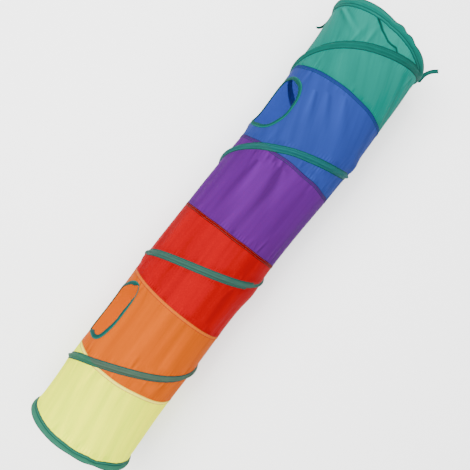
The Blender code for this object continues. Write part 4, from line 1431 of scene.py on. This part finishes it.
class CAT_TUNNEL_OT_ties(bpy.types.Operator):
    """Hang the two ribbon ties from the green end."""

    bl_idname = "cat_tunnel.ties"
    bl_label = "Ribbon Ties"

    def execute(self, context):
        tunnel = tunnel_of(context)
        colours = context.scene.cat_tunnel_colours
        self.half_width = tunnel.sizes.tie_width / 2
        body, hem = tuple(colours.ribbon), tuple(colours.hem)
        material = tape_material("tie_ribbon", self.half_width, body, hem)
        self.front(tunnel, material)
        self.back(tunnel, material)
        return {"FINISHED"}

    def curve(self, corners, count=49):
        """Points along the soft curve that these corners pull into shape."""
        share = np.linspace(0, 1, count)[:, None]
        corners = [np.broadcast_to(corner, (count, 3)) for corner in corners]
        while len(corners) > 1:
            corners = [a + (b - a) * share for a, b in zip(corners, corners[1:])]
        return corners[0]

    def root(self, tunnel, turn):
        """Where a tie is sewn to the green end's binding."""
        reach = tunnel.axis_height + TIE_SEAT
        station = np.array([tunnel.length - TIE_INSET])
        where = tunnel.placed(station, reach * np.cos([turn]), reach * np.sin([turn]))
        return where[0]

    def tie(self, side, line, across, curl, tunnel, material):
        """The tie of one side, front or back: its ribbon and the fray at its end."""
        made = self.ribbon(f"{side}_tie_ribbon", line, across, curl)
        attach(made, f"{side}_tie")
        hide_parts(f"tie_{side}")
        finish_with(made, material)
        made = self.fray(f"{side}_tie_fray", line, across, tunnel.sizes.thread_radius * 0.6)
        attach(made, f"{side}_tie")
        finish_with(made, material)

    def ribbon(self, name, line, across, curl):
        """A narrow woven strip with a slight curl."""
        width = np.linspace(-1, 1, 9)
        ahead = unit(np.gradient(line, axis=0))
        across = square_to(across, ahead)
        out = np.cross(across, ahead)
        half = self.half_width
        bow = curl * (1 - width**2)[None, :, None] * np.linspace(0.2, 1, len(line))[:, None, None]
        points = line[:, None] + half * width[None, :, None] * across[:, None] + bow * out[:, None]
        made = grid_object(name, points, {"cloth": cloth_places(run_along(line), half * width)})
        thick = made.modifiers.new("thickness", "SOLIDIFY")
        thick.thickness = RIBBON_THICKNESS
        thick.offset = 0
        return made

    def fray(self, name, line, across, radius):
        """Loose threads at the cut end of a ribbon."""
        dice = np.random.default_rng(SEEDS["fray"])
        tip, ahead = line[-1], unit(line[-1] - line[-3])
        side = unit(across[-1])
        share = np.linspace(0, 1, 7)[:, None]
        strands = []
        for place in np.linspace(-0.9, 0.9, 9):
            reach = dice.uniform(0.0012, 0.0042)
            bend = side * dice.normal(0, 0.0012) + np.array([0, 0, dice.normal(0, 0.0008)])
            start = tip - 0.001 * ahead + self.half_width * place * side
            path = start + share * (reach + 0.001) * ahead + share**2 * bend
            strands.append(round_bar(f"{name}_strand", path, radius, 5))
        chosen = {"active_object": strands[0], "selected_editable_objects": strands}
        with bpy.context.temp_override(**chosen):
            bpy.ops.object.join()
        strands[0].name = name
        return strands[0]

    def front(self, tunnel, material):
        """The tie that runs out past the rim to the front, and droops."""
        root = self.root(tunnel, FRONT_TIE_TURN)
        tip = np.array([FRONT_TIE_ADVANCE, -FRONT_TIE_REACH, -FRONT_TIE_DROOP])
        line = self.curve([root, *(root + pull for pull in FRONT_TIE_PULLS), root + tip])
        forward = unit(np.gradient(line, axis=0))
        forward[0] = (0, -1, 0)
        across = np.stack([-forward[:, 1], forward[:, 0], 0 * forward[:, 2]], axis=-1)
        self.tie("front", line, across, 0.0006, tunnel, material)

    def back(self, tunnel, material):
        """The tie that trails back along the tunnel on edge, and hooks out at its end."""
        root = self.root(tunnel, BACK_TIE_TURN)
        out = np.array([0, math.cos(BACK_TIE_TURN), math.sin(BACK_TIE_TURN)])
        trail = np.array([-BACK_TIE_TRAIL, 0, 0])
        corners = [
            root,
            root + trail * 0.4 + out * 0.2 * BACK_TIE_REACH,
            root + trail * 0.95,
            root + trail + out * BACK_TIE_REACH,
        ]
        line = self.curve(corners)
        side = np.array([0, -math.sin(BACK_TIE_TURN), math.cos(BACK_TIE_TURN)])
        across = np.broadcast_to(side, line.shape)
        self.tie("back", line, across, 0.0005, tunnel, material)


class CAT_TUNNEL_OT_stage(bpy.types.Operator):
    """Set the pale floor, the soft lights and the camera above."""

    bl_idname = "cat_tunnel.stage"
    bl_label = "Floor, Lights and Camera"

    def execute(self, context):
        settings = context.scene.cat_tunnel_stage
        middle = Vector((*VIEW_POINT, 0.0))
        bpy.ops.mesh.primitive_plane_add(size=8, location=(0, 0, -0.0004))
        floor = context.active_object
        floor.name = "pale_floor"
        finish_with(floor, floor_material(tuple(settings.floor)))
        self.light("key_light", (0.25, 1.1, 2.2), 1.4, settings.key_power, middle)
        self.light("fill_light", (0.0, -0.1, 2.7), 2.2, settings.fill_power, middle)
        world = bpy.data.worlds.new("studio")
        world.use_nodes = True
        background = world.node_tree.nodes["Background"]
        background.inputs["Color"].default_value = (1.0, 1.0, 1.0, 1.0)
        background.inputs["Strength"].default_value = settings.sky
        context.scene.world = world
        self.camera(context, settings)
        return {"FINISHED"}

    def light(self, name, place, size, power, target):
        data = bpy.data.lights.new(name, "AREA")
        data.shape = "DISK"
        data.size = size
        data.energy = power
        lamp = bpy.data.objects.new(name, data)
        lamp.location = place
        lamp.rotation_euler = (target - Vector(place)).to_track_quat("-Z", "Y").to_euler()
        bpy.context.scene.collection.objects.link(lamp)

    def camera(self, context, settings):
        """Straight above, turned so that the green end is at the upper right."""
        data = bpy.data.cameras.new("above")
        data.sensor_width = SENSOR_WIDTH
        data.lens = SENSOR_WIDTH * FOCUS_PIXELS / FRAME_PIXELS
        data.shift_x = SHIFT_PIXELS[0] / FRAME_PIXELS
        data.shift_y = SHIFT_PIXELS[1] / FRAME_PIXELS
        made = bpy.data.objects.new("above", data)
        right = Vector((*VIEW_RIGHT, 0)).normalized()
        up = Vector((-right.y, right.x, 0))
        place = Matrix((right, up, Vector((0, 0, 1)))).transposed().to_4x4()
        height = tunnel_of(context).axis_height + settings.camera_height
        place.translation = (*VIEW_POINT, height)
        made.matrix_world = place
        context.scene.collection.objects.link(made)
        context.scene.camera = made


OPERATORS = (
    CAT_TUNNEL_OT_panels,
    CAT_TUNNEL_OT_casing_tapes,
    CAT_TUNNEL_OT_end_bindings,
    CAT_TUNNEL_OT_hole_bindings,
    CAT_TUNNEL_OT_spring_wire,
    CAT_TUNNEL_OT_stitching,
    CAT_TUNNEL_OT_ties,
    CAT_TUNNEL_OT_stage,
)


class VIEW3D_PT_cat_tunnel(bpy.types.Panel):
    """Sizes, colours and pieces of the cat tunnel."""

    bl_label = "Cat Tunnel"
    bl_space_type = "VIEW_3D"
    bl_region_type = "UI"
    bl_category = "Cat Tunnel"

    def draw(self, context):
        for settings in ("cat_tunnel_sizes", "cat_tunnel_colours", "cat_tunnel_stage"):
            group = getattr(context.scene, settings)
            box = self.layout.box()
            for name in group.bl_rna.properties.keys():
                if name not in ("rna_type", "name"):
                    box.prop(group, name)
        for operator in OPERATORS:
            self.layout.operator(operator.bl_idname)


CLASSES = (
    CatTunnelSizes,
    CatTunnelColours,
    CatTunnelStage,
    *OPERATORS,
    VIEW3D_PT_cat_tunnel,
)


def register():
    for made in CLASSES:
        bpy.utils.register_class(made)
    bpy.types.Scene.cat_tunnel_sizes = PointerProperty(type=CatTunnelSizes)
    bpy.types.Scene.cat_tunnel_colours = PointerProperty(type=CatTunnelColours)
    bpy.types.Scene.cat_tunnel_stage = PointerProperty(type=CatTunnelStage)


def unregister():
    del bpy.types.Scene.cat_tunnel_stage
    del bpy.types.Scene.cat_tunnel_colours
    del bpy.types.Scene.cat_tunnel_sizes
    for made in reversed(CLASSES):
        bpy.utils.unregister_class(made)


def main():
    """Makes every piece."""
    register()
    bpy.ops.cat_tunnel.panels()
    bpy.ops.cat_tunnel.casing_tapes()
    bpy.ops.cat_tunnel.end_bindings()
    bpy.ops.cat_tunnel.hole_bindings()
    bpy.ops.cat_tunnel.spring_wire()
    bpy.ops.cat_tunnel.stitching()
    bpy.ops.cat_tunnel.ties()
    bpy.ops.cat_tunnel.stage()
    bpy.context.view_layer.update()


if __name__ == "__main__":
    main()
